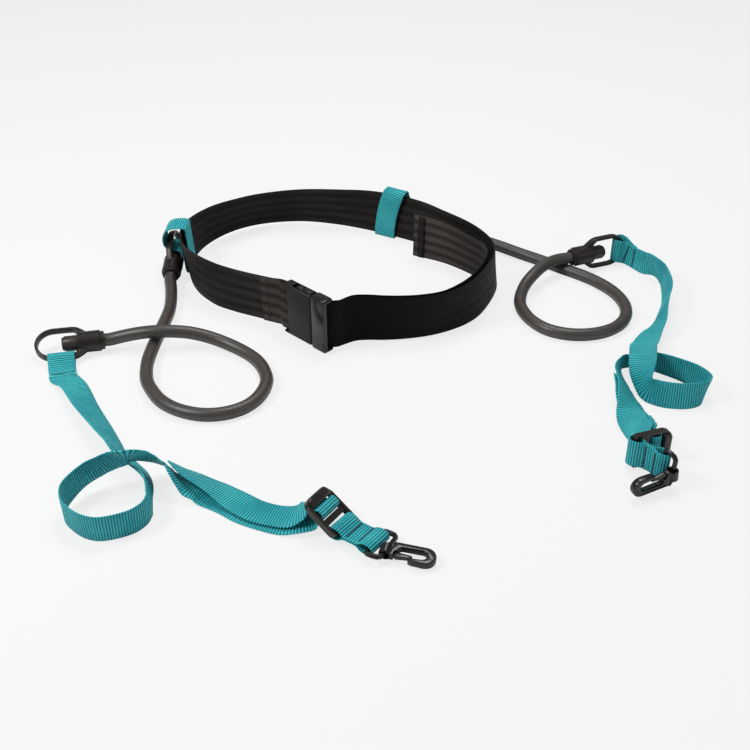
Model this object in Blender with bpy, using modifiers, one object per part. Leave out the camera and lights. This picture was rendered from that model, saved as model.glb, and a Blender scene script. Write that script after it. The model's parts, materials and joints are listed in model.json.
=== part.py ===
"""Swim tether: a waist belt, two rubber tubes with moulded ring ends, and two webbing straps with snap hooks.

World frame in metres, +Z up, the floor at Z = 0, the buckle side of the belt toward -Y.
Lengths below are in millimetres unless a name says otherwise.
"""

import math

import bmesh
import bpy
import numpy as np
from mathutils import Matrix, Vector

MM = 0.001

# Where the layout below sits in the world
LAYOUT_X = -3.4
LAYOUT_Y = -13.4

# Webbing
BELT_WIDTH = 50.0
BELT_THICK = 1.4
BELT_LIFT = 1.9
STRAP_WIDTH = 25.4
STRAP_THICK = 1.5
GAP = 0.3
FLOOR_CLEAR = 0.1

# Rubber tube
TUBE_DIAMETER = 12.7
TUBE_FIT = 0.3

# Moulded ring end of a tube
SLEEVE_DIAMETER = 20.6
SLEEVE_LENGTH = 25.0
COLLAR_DIAMETER = 18.0
COLLAR_LENGTH = 3.0
RING_WIDTH = 36.0
RING_LENGTH = 41.0
RING_BAND = 6.5
RING_THICK = 3.0
PLUG_DIAMETER = 15.0
PLUG_LENGTH = 15.0
PLUG_CHAMFER = 3.0
PLUG_SHANK = 9.4
PLUG_BORE = 10.0
TUBE_IN_SLEEVE = 18.0

# Side release buckle of the belt: its slots clear the webbing, and rims close them above and below
BELT_CLEAR = 0.8
FORK_RIM = 3.2
HOUSING_RIM = 2.1
BUCKLE_HEIGHT = BELT_WIDTH + 2 * (BELT_CLEAR + FORK_RIM)
BUCKLE_THICK = 13.0
HOUSING_HEIGHT = BELT_WIDTH + 2 * (BELT_CLEAR + HOUSING_RIM)
HOUSING_LENGTH = 39.5
FORK_END_LENGTH = 19.3
BUCKLE_WALL = 3.0
PRONG_THICK = 5.6

# Ladder lock on a strap
STRAP_CLEAR = 0.7
LOCK_RAIL = 3.1
LOCK_THICK = 5.0
LOCK_OPENING = STRAP_WIDTH + 2 * STRAP_CLEAR
LOCK_WIDTH = LOCK_OPENING + 2 * LOCK_RAIL

# Snap hook
EYE_WIRE = 4.2
HOOK_LENGTH = 39.0
HOOK_WIDTH = 17.2
HOOK_THICK = 6.0
KNUCKLE_WIDTH = 10.0
KNUCKLE_BORE = 5.2
KNUCKLE_RADIUS = 5.0
GATE_THICK = 3.6


def clear_scene():
    for obj in list(bpy.data.objects):
        bpy.data.objects.remove(obj, do_unlink=True)
    for block in list(bpy.data.meshes) + list(bpy.data.curves):
        if isinstance(block, bpy.types.Mesh):
            bpy.data.meshes.remove(block)
        else:
            bpy.data.curves.remove(block)


def new_collection(name):
    made = bpy.data.collections.new(name)
    bpy.context.scene.collection.children.link(made)
    return made


def material(name, colour, roughness, metallic=0.0):
    made = bpy.data.materials.new(name)
    made.use_nodes = True
    shader = made.node_tree.nodes["Principled BSDF"]
    shader.inputs["Base Color"].default_value = (*colour, 1.0)
    shader.inputs["Roughness"].default_value = roughness
    shader.inputs["Metallic"].default_value = metallic
    made.diffuse_color = (*colour, 1.0)
    return made


clear_scene()
PARTS = new_collection("swim_tether")
CUTTERS = new_collection("cutters")


def frame_of(origin, x_axis, y_axis):
    """The matrix of a frame from its origin in layout millimetres, its X axis and a rough Y axis."""
    x = Vector(x_axis).normalized()
    z = x.cross(Vector(y_axis)).normalized()
    y = z.cross(x)
    turn = Matrix((x, y, z)).transposed().to_4x4()
    place = Vector((origin[0] + LAYOUT_X, origin[1] + LAYOUT_Y, origin[2])) * MM
    return Matrix.Translation(place) @ turn


WORLD = Matrix.Translation(Vector((LAYOUT_X, LAYOUT_Y, 0.0)) * MM)


def heading(degrees, rise=0.0):
    plan = math.radians(degrees)
    up = math.radians(rise)
    return Vector((math.cos(plan) * math.cos(up), math.sin(plan) * math.cos(up), math.sin(up)))


def add_object(name, data, frame, collection=PARTS, paint=None):
    obj = bpy.data.objects.new(name, data)
    collection.objects.link(obj)
    obj.matrix_world = frame
    if paint is not None:
        obj.data.materials.append(paint)
    if collection is CUTTERS:
        obj.hide_render = True
        obj.display_type = "WIRE"
    return obj


def mesh_from(name, points, faces):
    mesh = bpy.data.meshes.new(name)
    mesh.from_pydata([Vector(p) * MM for p in points], [], faces)
    made = bmesh.new()
    made.from_mesh(mesh)
    bmesh.ops.recalc_face_normals(made, faces=made.faces)
    made.to_mesh(mesh)
    made.free()
    return mesh


def box_mesh(name, low, high):
    """An axis-aligned box between two corners, in millimetres of the object's frame."""
    points = [(x, y, z) for x in (low[0], high[0]) for y in (low[1], high[1]) for z in (low[2], high[2])]
    faces = [(0, 1, 3, 2), (4, 6, 7, 5), (0, 4, 5, 1), (2, 3, 7, 6), (0, 2, 6, 4), (1, 5, 7, 3)]
    return mesh_from(name, points, faces)


def prism_mesh(name, outline, low, high):
    """A plate between two heights with a closed outline in the XY plane."""
    count = len(outline)
    points = [(x, y, low) for x, y in outline] + [(x, y, high) for x, y in outline]
    faces = [tuple(range(count)), tuple(range(count, 2 * count))]
    faces += [(i, (i + 1) % count, count + (i + 1) % count, count + i) for i in range(count)]
    return mesh_from(name, points, faces)


def round_mesh(name, radii, axis="X", sides=28):
    """A turned solid from (position, radius) pairs along an axis."""
    points = []
    for place, radius in radii:
        for i in range(sides):
            turn = 2 * math.pi * i / sides
            a, b = radius * math.cos(turn), radius * math.sin(turn)
            points.append({"X": (place, a, b), "Y": (a, place, b), "Z": (a, b, place)}[axis])
    faces = [tuple(range(sides)), tuple(range(len(points) - sides, len(points)))]
    for ring in range(len(radii) - 1):
        for i in range(sides):
            a = ring * sides + i
            b = ring * sides + (i + 1) % sides
            faces.append((a, b, b + sides, a + sides))
    return mesh_from(name, points, faces)


def boolean(target, operation, tools):
    for number, tool in enumerate(tools):
        modifier = target.modifiers.new(f"{operation.lower()}_{number}", "BOOLEAN")
        modifier.operation = operation
        modifier.solver = "EXACT"
        modifier.object = tool


def cut(target, *tools):
    boolean(target, "DIFFERENCE", tools)


def join(target, *tools):
    boolean(target, "UNION", tools)


def bevel(obj, width, segments=2, angle=35.0):
    modifier = obj.modifiers.new("bevel", "BEVEL")
    modifier.width = width * MM
    modifier.segments = segments
    modifier.limit_method = "ANGLE"
    modifier.angle_limit = math.radians(angle)
    modifier.use_clamp_overlap = True


def tool(name, mesh, frame):
    return add_object(name, mesh, frame, CUTTERS)


def smooth_path(points, step, cyclic=False, bend=0.28):
    """Rows along a smooth curve through hand-chosen rows, closer where it bends; the first three columns are the place."""
    rows = [np.array(p, float) for p in points]
    count = len(rows)
    dense = []
    for i in range(count if cyclic else count - 1):
        b, c = rows[i], rows[(i + 1) % count]
        a = rows[i - 1] if i or cyclic else 2 * b - c
        d = rows[(i + 2) % count] if i + 2 < count or cyclic else 2 * c - b
        for k in range(24):
            t = k / 24
            quadratic = (2 * a - 5 * b + 4 * c - d) * t * t
            cubic = (3 * b - a - 3 * c + d) * t * t * t
            dense.append((2 * b + (c - a) * t + quadratic + cubic) / 2)
    dense.append(rows[0] if cyclic else rows[-1])
    dense = np.array(dense)
    strides = np.diff(dense[:, :3], axis=0)
    lengths = np.maximum(np.linalg.norm(strides, axis=1), 1e-9)
    headings = strides / lengths[:, None]
    bends = np.linalg.norm(np.diff(headings, axis=0, append=headings[-1:]), axis=1)
    twists = np.linalg.norm(np.diff(dense[:, 3:], axis=0), axis=1)
    along = np.concatenate([[0.0], np.cumsum(lengths / step + (bends + twists) / bend)])
    pieces = max(2, round(along[-1]))
    places = np.linspace(0.0, along[-1], pieces + 1)
    if cyclic:
        places = places[:-1]
    return np.stack([np.interp(places, along, column) for column in dense.T], axis=1)


def band(name, stations, width, thick, step, paint, cyclic=False):
    """Flat webbing through (lower edge, upper edge) pairs of points, as one closed solid that stays over the floor."""
    rows = []
    for low, high in stations:
        low, high = np.array(low, float), np.array(high, float)
        across = (high - low) / np.linalg.norm(high - low)
        rows.append((*((low + high) / 2), *across))
    path = smooth_path(rows, step, cyclic)
    count = len(path)
    points = []
    for i, row in enumerate(path):
        middle, across = Vector(row[:3]), Vector(row[3:])
        before = path[(i - 1) % count][:3] if cyclic or i else row[:3]
        after = path[(i + 1) % count][:3] if cyclic or i < count - 1 else row[:3]
        along = Vector(after - before).normalized()
        across = (across - along * across.dot(along)).normalized()
        normal = along.cross(across)
        corners = []
        for a, b in ((-1, -1), (1, -1), (1, 1), (-1, 1)):
            corners.append(middle + across * (a * width / 2) + normal * (b * thick / 2))
        sunk = max(0.0, FLOOR_CLEAR - min(corner.z for corner in corners))
        points += [corner + Vector((0, 0, sunk)) for corner in corners]
    faces = []
    for i in range(count if cyclic else count - 1):
        j = (i + 1) % count
        for k in range(4):
            m = (k + 1) % 4
            faces.append((4 * i + k, 4 * i + m, 4 * j + m, 4 * j + k))
    if not cyclic:
        faces += [(0, 1, 2, 3), tuple(4 * (count - 1) + k for k in range(4))]
    return add_object(name, mesh_from(name, points, faces), WORLD, PARTS, paint)


def tube(name, points, diameter, step, paint):
    """Round tube along a smooth route."""
    curve = bpy.data.curves.new(name, "CURVE")
    curve.dimensions = "3D"
    curve.bevel_depth = diameter / 2 * MM
    curve.bevel_resolution = 3
    curve.use_fill_caps = True
    curve.resolution_u = 1
    route = smooth_path(points, step, bend=1000.0)
    spline = curve.splines.new("POLY")
    spline.points.add(len(route) - 1)
    for point, place in zip(spline.points, route):
        point.co = (*(place * MM), 1.0)
    return add_object(name, curve, WORLD, PARTS, paint)


BELT_BLACK = material("belt_webbing", (0.022, 0.020, 0.020), 0.75)
TEAL = material("strap_webbing", (0.020, 0.330, 0.340), 0.80)
TEAL_LOOP = material("loop_webbing", (0.020, 0.330, 0.340), 0.80)
RUBBER = material("tube_rubber", (0.075, 0.068, 0.062), 0.45)
MOULDED = material("moulded_plastic", (0.045, 0.038, 0.034), 0.42)
PLUG_GREY = material("plug_plastic", (0.085, 0.070, 0.062), 0.40)
BUCKLE_BLACK = material("buckle_plastic", (0.035, 0.033, 0.032), 0.48)
LOCK_BLACK = material("lock_plastic", (0.045, 0.038, 0.035), 0.30)
HOOK_BLACK = material("hook_plastic", (0.030, 0.027, 0.024), 0.35)


# Ring ends: a sleeve on the tube with a stadium ring, and the plug that holds the tube
def ring_outline(width, length):
    """The outline of the ring plate: flared arms and a half round end."""
    radius = width / 2
    start = [(-14.0, 8.0), (-9.0, 10.0), (-4.0, 14.0), (0.0, radius - 1.2), (4.5, radius - 0.1), (14.0, radius)]
    centre = length - radius
    arc = [(centre + radius * math.sin(a), radius * math.cos(a)) for a in [math.pi * k / 16 for k in range(17)]]
    upper = start + arc[:8] + [arc[8]]
    lower = [(x, -y) for x, y in reversed(upper[:-1])]
    return upper + lower


def ring_hole(width, length, thick):
    radius = width / 2 - thick
    centre = length - width / 2
    start = [(-0.5, 8.6), (1.6, 12.2), (4.5, radius - 0.3), (14.0, radius)]
    arc = [(centre + radius * math.sin(a), radius * math.cos(a)) for a in [math.pi * k / 16 for k in range(17)]]
    upper = start + arc[:8] + [arc[8]]
    lower = [(x, -y) for x, y in reversed(upper[:-1])]
    return upper + lower


def ring_end(side, frame):
    """Sleeve with ring and its plug. X runs from the sleeve's open face to the ring's end, Z is the ring's normal."""
    half = SLEEVE_DIAMETER / 2
    sleeve_profile = [
        (-SLEEVE_LENGTH, COLLAR_DIAMETER / 2),
        (-SLEEVE_LENGTH + COLLAR_LENGTH, COLLAR_DIAMETER / 2),
        (-SLEEVE_LENGTH + COLLAR_LENGTH + 0.8, half),
        (-0.8, half),
        (0.0, half - 0.8),
    ]
    sleeve = add_object(f"ring_sleeve_{side}", round_mesh("sleeve", sleeve_profile), frame, PARTS, MOULDED)
    plate = tool(
        f"ring_plate_{side}",
        prism_mesh("plate", ring_outline(RING_WIDTH, RING_LENGTH), -RING_BAND / 2, RING_BAND / 2),
        frame,
    )
    hole = prism_mesh("hole", ring_hole(RING_WIDTH, RING_LENGTH, RING_THICK), -8.0, 8.0)
    cut(plate, tool(f"ring_hole_{side}", hole, frame))
    bevel(plate, 0.7, 2, 50.0)
    join(sleeve, plate)
    entry = TUBE_DIAMETER / 2 + TUBE_FIT
    bore = [
        (-SLEEVE_LENGTH - 2.0, entry + 1.2),
        (-SLEEVE_LENGTH + 1.2, entry),
        (-SLEEVE_LENGTH + TUBE_IN_SLEEVE + GAP, entry),
        (-SLEEVE_LENGTH + TUBE_IN_SLEEVE + GAP + 0.01, PLUG_BORE / 2),
        (2.0, PLUG_BORE / 2),
    ]
    cut(sleeve, tool(f"sleeve_bore_{side}", round_mesh("bore", bore), frame))
    plug_profile = [
        (-SLEEVE_LENGTH + TUBE_IN_SLEEVE + 2 * GAP, PLUG_SHANK / 2),
        (GAP, PLUG_SHANK / 2),
        (GAP + 0.01, PLUG_DIAMETER / 2),
        (PLUG_LENGTH - PLUG_CHAMFER, PLUG_DIAMETER / 2),
        (PLUG_LENGTH, PLUG_DIAMETER / 2 - PLUG_CHAMFER * 0.55),
    ]
    add_object(f"tube_plug_{side}", round_mesh("plug", plug_profile), frame, PARTS, PLUG_GREY)


def ring_frame(face, x_axis, lean):
    """Frame at the sleeve's open face. lean turns the ring about its axis: 0 is flat, 90 stands on edge."""
    x = Vector(x_axis).normalized()
    side = Vector((0, 0, 1)).cross(x).normalized()
    up = x.cross(side)
    turn = math.radians(lean)
    return frame_of(face, x, side * math.cos(turn) + up * math.sin(turn))


OUTER_LEFT = ring_frame((-258.0, 21.0, 11.9), heading(191.5), -21.5)
OUTER_RIGHT = ring_frame((266.5, 193.5, 18.4), heading(22.0), 90.0)
INNER_LEFT = ring_frame((-188.8, 180.5, 16.9), (0.0, 0.976, 0.215), 78.0)
INNER_RIGHT = ring_frame((72.4, 278.5, 15.6), (-0.905, 0.367, 0.215), 120.0)
ring_end("outer_left", OUTER_LEFT)
ring_end("outer_right", OUTER_RIGHT)
ring_end("inner_left", INNER_LEFT)
ring_end("inner_right", INNER_RIGHT)


# Rubber tubes, each from the inner sleeve, round a loop that crosses itself, to the outer sleeve
def in_layout(frame, x, y=0.0, z=0.0):
    """A point of a frame, in layout millimetres."""
    place = frame @ (Vector((x, y, z)) * MM) / MM
    return Vector((place.x - LAYOUT_X, place.y - LAYOUT_Y, place.z))


TUBE_END = -SLEEVE_LENGTH + TUBE_IN_SLEEVE
LEFT_ROUTE = [
    (-184.6, 129.0, 7.4), (-181.2, 100.0, 6.4), (-181.5, 77.0, 6.4), (-184.5, 44.0, 6.4), (-186.5, 15.0, 6.4),
    (-186.5, -10.0, 6.4), (-182.5, -35.0, 6.4), (-174.0, -54.0, 6.4), (-163.0, -70.0, 6.4), (-148.0, -82.0, 6.4),
    (-131.0, -89.0, 6.4), (-115.0, -90.5, 6.4), (-99.0, -86.5, 6.4), (-85.0, -77.0, 6.4), (-75.0, -61.0, 6.4),
    (-70.5, -39.0, 6.4), (-75.0, -18.0, 6.4), (-84.5, 0.0, 6.4), (-99.0, 14.5, 7.0), (-116.0, 25.0, 9.0),
    (-133.0, 30.5, 12.5), (-150.0, 31.5, 16.5), (-167.0, 29.5, 19.4), (-184.0, 28.0, 20.2), (-200.0, 28.0, 18.2),
    (-215.0, 28.5, 14.6),
]
RIGHT_ROUTE = [
    (130.0, 252.5, 8.4), (150.0, 244.5, 8.2), (168.0, 234.0, 7.6), (195.0, 214.0, 6.4), (213.0, 200.0, 6.4), (229.0, 185.9, 6.4),
    (251.0, 167.8, 6.4), (266.4, 152.4, 6.4), (280.0, 132.0, 6.4), (287.0, 111.0, 6.4), (287.5, 90.0, 6.4),
    (280.5, 70.0, 6.4), (267.0, 55.0, 6.4), (250.0, 46.5, 6.4), (232.0, 44.0, 6.4), (215.0, 47.0, 6.4),
    (199.0, 56.5, 6.4), (186.5, 75.0, 6.4), (180.5, 98.0, 6.4), (182.0, 118.0, 7.4), (189.0, 137.0, 11.0),
    (200.0, 152.0, 16.0), (213.0, 167.0, 18.8), (226.5, 177.3, 18.9),
]


def tube_route(inner, outer, middle):
    """The whole tube: straight in each sleeve, free in between."""
    start = [in_layout(inner, TUBE_END), in_layout(inner, -SLEEVE_LENGTH), in_layout(inner, -SLEEVE_LENGTH - 6.0)]
    end = [in_layout(outer, -SLEEVE_LENGTH - 6.0), in_layout(outer, -SLEEVE_LENGTH), in_layout(outer, TUBE_END)]
    return start + middle + end


tube("tube_left", tube_route(INNER_LEFT, OUTER_LEFT, LEFT_ROUTE), TUBE_DIAMETER, 9.0, RUBBER)
tube("tube_right", tube_route(INNER_RIGHT, OUTER_RIGHT, RIGHT_ROUTE), TUBE_DIAMETER, 9.0, RUBBER)


# Buckle: X along the belt toward the fork, Y up, Z outward
BUCKLE = frame_of((-36.2, 42.6, BUCKLE_HEIGHT / 2 + 0.6), heading(-44.0), (0, 0, 1))
HOUSING_FRONT = 11.0
HOUSING_REAR = HOUSING_FRONT - HOUSING_LENGTH
FORK_FRONT = HOUSING_FRONT + GAP
FORK_REAR = FORK_FRONT + FORK_END_LENGTH
INSIDE = BUCKLE_THICK / 2 - BUCKLE_WALL
HALF_HEIGHT = BUCKLE_HEIGHT / 2
HOUSING_HALF = HOUSING_HEIGHT / 2
SLOT_HALF = BELT_WIDTH / 2 + BELT_CLEAR
BUCKLE_BAR_HALF = SLOT_HALF + 1.2


END_BAR_X = HOUSING_REAR + 1.6
housing = add_object(
    "buckle_housing",
    box_mesh("housing", (HOUSING_REAR, -HOUSING_HALF, -BUCKLE_THICK / 2), (HOUSING_FRONT, HOUSING_HALF, BUCKLE_THICK / 2)),
    BUCKLE, PARTS, BUCKLE_BLACK,
)
bevel(housing, 2.2, 3)
slot = box_mesh("slot", (HOUSING_REAR - 5.0, -SLOT_HALF, -12.0), (HOUSING_REAR + 7.5, SLOT_HALF, 12.0))
cavity = box_mesh("cavity", (-17.0, -HALF_HEIGHT - 5.0, -INSIDE), (HOUSING_FRONT + 5.0, HALF_HEIGHT + 5.0, INSIDE))
housing_bar = box_mesh("bar", (END_BAR_X - 1.6, -BUCKLE_BAR_HALF, -1.6), (END_BAR_X + 1.6, BUCKLE_BAR_HALF, 1.6))
cut(housing, tool("housing_slot", slot, BUCKLE), tool("housing_cavity", cavity, BUCKLE))
join(housing, tool("housing_bar", housing_bar, BUCKLE))

fork = add_object(
    "buckle_fork",
    box_mesh("fork", (FORK_FRONT, -HALF_HEIGHT - 0.3, -BUCKLE_THICK / 2), (FORK_REAR, HALF_HEIGHT + 0.3, BUCKLE_THICK / 2)),
    BUCKLE, PARTS, BUCKLE_BLACK,
)
bevel(fork, 2.4, 3)
BAR_X = FORK_FRONT + 10.5
BAR_HALF = 2.0
pocket = box_mesh("pocket", (FORK_FRONT + 4.0, -SLOT_HALF, -12.0), (FORK_REAR + 5.0, SLOT_HALF, 2.6))
bar = box_mesh("bar", (BAR_X - BAR_HALF, -BUCKLE_BAR_HALF, -3.4), (BAR_X + BAR_HALF, BUCKLE_BAR_HALF, -0.2))
tongue = box_mesh("tongue", (-7.0, -6.0, -2.4), (FORK_FRONT + 2.0, 6.0, 2.4))
cut(fork, tool("fork_pocket", pocket, BUCKLE))
join(fork, tool("fork_bar", bar, BUCKLE), tool("fork_tongue", tongue, BUCKLE))
PRONG_ROOT_X = FORK_FRONT - 2.2
PRONG_ROOT_Y = HOUSING_HALF - 12.9


def prong(name, sign):
    """A springy side arm with its thumb pad in the open side of the housing. Heights are from the arm's root."""
    root = [
        (PRONG_ROOT_X + 2.0 * math.cos(a), 2.0 * math.sin(a))
        for a in [math.radians(d) for d in (-90, -60, -30, 0, 30, 60, 90)]
    ]
    head = [
        (7.0, 7.0), (8.6, 8.6), (8.6, 12.4), (6.6, 13.9), (1.0, 14.3), (-3.2, 13.5), (-4.4, 12.0), (-5.6, 13.4),
        (-9.0, 14.2), (-12.0, 13.2), (-13.4, 11.4), (-13.0, 8.0), (-11.0, 5.8),
    ]
    inner = [(-6.0, 3.6), (2.0, 0.8)]
    outline = [(x - PRONG_ROOT_X, y) for x, y in root + head + inner]
    if sign < 0:
        outline = [(x, -y) for x, y in reversed(outline)]
    origin = Vector((PRONG_ROOT_X, sign * PRONG_ROOT_Y))
    place = BUCKLE @ Matrix.Translation(Vector((origin.x, origin.y, 0.0)) * MM)
    obj = add_object(name, prism_mesh(name, outline, -PRONG_THICK / 2, PRONG_THICK / 2), place, PARTS, BUCKLE_BLACK)
    bevel(obj, 0.5, 2, 50.0)


prong("buckle_prong_upper", 1)
prong("buckle_prong_lower", -1)


# Belt webbing, stood on its edge and closed by the buckle
def buckle_point(x, z):
    place = in_layout(BUCKLE, x, 0.0, z)
    return place.x, place.y


def belt_station(x, y, lean_x=0.0, lean_y=0.0, lift=BELT_LIFT):
    return (x, y, lift), (x + lean_x, y + lean_y, lift + BELT_WIDTH)


FRONT_ROUTE = [
    belt_station(*buckle_point(BAR_X - BAR_HALF - 1.3, -1.9), lift=4.6),
    belt_station(*buckle_point(BAR_X - BAR_HALF - 0.9, 0.3), lift=4.6),
    belt_station(*buckle_point(BAR_X - 0.6, 1.2), lift=4.6),
    belt_station(*buckle_point(BAR_X + 1.6, 1.2), lift=4.6),
    belt_station(*buckle_point(BAR_X + 3.9, -0.2), lift=4.6),
    belt_station(*buckle_point(BAR_X + 6.7, -3.0), lift=4.6),
    belt_station(*buckle_point(FORK_REAR + 0.9, -6.2), lift=4.3),
    belt_station(*buckle_point(FORK_REAR + 2.9, -10.5), lift=4.1),
    belt_station(10.0, 37.4, lift=3.4),
    belt_station(24.0, 40.8, 0.3, -1.5, lift=2.6),
    belt_station(38.9, 41.8, 0.6, -3.0),
    belt_station(58.0, 43.6, 1.2, -5.0),
    belt_station(78.0, 47.8, 2.2, -6.0),
]
MAIN_ROUTE = [
    belt_station(78.5, 48.0, 2.2, -6.0),
    belt_station(98.0, 55.6, 3.2, -6.0),
    belt_station(121.0, 71.0, 1.5, -2.5),
    belt_station(138.5, 92.0, -1.0, 0.3),
    belt_station(154.0, 126.5, -1.8, 0.1),
    belt_station(160.5, 155.0, -6.5, -0.3),
    belt_station(156.5, 184.0, -10.0, -4.5),
    belt_station(138.0, 210.5, -6.5, -6.5),
    belt_station(108.0, 233.0, -1.5, -2.2),
    belt_station(73.7, 254.5, 3.0, 5.0),
    belt_station(31.2, 279.5, 0.8, 1.6),
    belt_station(-10.0, 296.5, -2.9, -9.0),
    belt_station(-57.0, 305.0, 0.0, -16.0),
    belt_station(-103.8, 297.0, 6.0, -17.5),
    belt_station(-138.5, 276.0, 10.5, -12.5),
    belt_station(-163.0, 243.0, 7.0, -3.6),
    belt_station(-173.5, 203.0, -2.6, 0.0),
    belt_station(-169.5, 169.0, -7.5, -2.5),
    belt_station(-157.0, 137.0, -4.0, -1.5),
    belt_station(-136.0, 111.1),
    belt_station(-115.0, 97.5),
    belt_station(-94.0, 87.2),
    belt_station(*buckle_point(HOUSING_REAR - 20.0, 0.6), lift=2.8),
    belt_station(*buckle_point(HOUSING_REAR - 11.0, -2.2), lift=3.8),
    belt_station(*buckle_point(HOUSING_REAR - 4.0, -3.0), lift=4.6),
    belt_station(*buckle_point(END_BAR_X, -3.0), lift=4.6),
    belt_station(*buckle_point(END_BAR_X + 2.7, -2.3), lift=4.6),
    belt_station(*buckle_point(END_BAR_X + 3.5, 0.0), lift=4.6),
    belt_station(*buckle_point(END_BAR_X + 2.7, 2.3), lift=4.6),
    belt_station(*buckle_point(END_BAR_X, 3.0), lift=4.6),
    belt_station(*buckle_point(HOUSING_REAR - 4.0, 2.8), lift=4.6),
    belt_station(*buckle_point(HOUSING_REAR - 11.0, 1.0), lift=3.8),
    belt_station(*buckle_point(HOUSING_REAR - 20.0, 2.6), lift=2.8),
    belt_station(*buckle_point(HOUSING_REAR - 31.5, 6.0), lift=2.2),
]
TAIL_ROUTE = [
    belt_station(*buckle_point(BAR_X - BAR_HALF - 0.6, -4.6), lift=4.6),
    belt_station(*buckle_point(BAR_X, -4.7), lift=4.6),
    belt_station(*buckle_point(BAR_X + 3.6, -5.4), lift=4.6),
    belt_station(*buckle_point(BAR_X + 6.6, -7.6), lift=4.6),
    belt_station(*buckle_point(BAR_X + 8.8, -11.0), lift=4.3),
    belt_station(*buckle_point(BAR_X + 10.2, -14.5), lift=4.1),
    belt_station(8.6, 40.6, lift=3.4),
    belt_station(23.4, 44.6, 0.3, -1.5, lift=2.6),
    belt_station(38.6, 45.8, 0.6, -3.0),
    belt_station(57.4, 47.8, 1.2, -5.0),
    belt_station(76.8, 51.8, 2.2, -6.0),
    belt_station(95.6, 59.6, 3.2, -6.0),
    belt_station(117.5, 75.4, 1.5, -2.5),
    belt_station(134.0, 95.0, -1.0, 0.3),
    belt_station(148.0, 127.5, -3.0, 0.4),
    belt_station(149.5, 152.0, -5.5, -1.0),
    belt_station(137.8, 172.5, -6.0, -4.0),
    belt_station(107.8, 201.5, -1.5, -2.0),
    belt_station(72.8, 220.5, 1.0, 1.5),
]
band("belt_webbing_front", FRONT_ROUTE, BELT_WIDTH, BELT_THICK, 6.0, BELT_BLACK)
band("belt_webbing", MAIN_ROUTE, BELT_WIDTH, BELT_THICK, 8.0, BELT_BLACK)
band("belt_tail", TAIL_ROUTE, BELT_WIDTH, BELT_THICK, 8.0, BELT_BLACK)


# Webbing loops that slide on the belt and hold the inner rings
def belt_loop(name, x, y, outward, lean, skew, profile):
    """A closed loop round the belt's edge-on section. profile gives (distance outward, height) of the webbing's middle."""
    out = Vector((*outward, 0.0)).normalized()
    along = Vector((0, 0, 1)).cross(out)
    stations = []
    for r, z in profile:
        shift = lean * min(max(z - BELT_LIFT, 0.0), BELT_WIDTH) / BELT_WIDTH
        slip = skew * (z / BELT_WIDTH) ** 2
        middle = Vector((x, y, 0.0)) + out * (r + shift) + along * slip + Vector((0, 0, z))
        stations.append((middle - along * STRAP_WIDTH / 2, middle + along * STRAP_WIDTH / 2))
    band(name, stations, STRAP_WIDTH, STRAP_THICK, 3.2, TEAL_LOOP, cyclic=True)


INSIDE_LEG = [(-2.3, 1.05), (-3.2, 2.8), (-3.4, 14.0), (-3.4, 30.0), (-3.3, 44.0)]
OUTSIDE_LEG = [(2.8, 14.0), (2.7, 5.0), (2.0, 1.4), (0.0, 0.85)]
LEFT_ARCH = [
    (-3.7, 50.2), (-1.9, 53.0), (2.0, 53.7), (7.5, 53.4), (13.0, 52.4), (17.8, 49.6), (21.0, 45.2), (22.6, 40.2),
    (22.8, 35.5), (21.4, 31.2), (17.8, 28.9), (12.5, 28.0), (8.0, 26.8), (4.8, 24.0), (3.2, 19.5),
]
RIGHT_ARCH = [
    (-2.8, 51.0), (-1.2, 54.8), (3.0, 57.4), (7.5, 56.4), (12.0, 52.0), (17.0, 46.8), (22.0, 42.4), (27.4, 38.6),
    (30.4, 34.2), (30.0, 29.8), (26.0, 27.2), (18.0, 26.6), (10.0, 26.0), (5.2, 24.0), (3.2, 20.0),
]
belt_loop("belt_loop_left", -173.3, 195.0, (-1.0, 0.04), 3.2, 0.0, INSIDE_LEG + LEFT_ARCH + OUTSIDE_LEG)
belt_loop("belt_loop_right", 42.6, 273.0, (0.5, 0.866), 2.4, -8.0, INSIDE_LEG + RIGHT_ARCH + OUTSIDE_LEG)


# Strap on the left: sewn round the ring's near arm, twisted onto its edge, coiled once and doubled into the ladder lock
def wrap_left(p, rise, turn=0.0):
    """One station of the sewn loop: p outward from the ring's arm, rise above its middle."""
    arm = in_layout(OUTER_LEFT, 16.1, RING_WIDTH / 2 - RING_THICK / 2)
    away = Vector((0.199, -0.980, 0.0))
    along = Vector((0.980, 0.199, 0.0))
    middle = arm + away * p + along * 0.0027 * max(p, 0.0) ** 2 + Vector((0, 0, rise))
    angle = math.radians(11.5 + 16.0 * max(p, 0.0) / 27.0 + turn)
    across = Vector((math.cos(angle), math.sin(angle), 0.0)) * STRAP_WIDTH / 2
    return middle + across, middle - across


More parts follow.
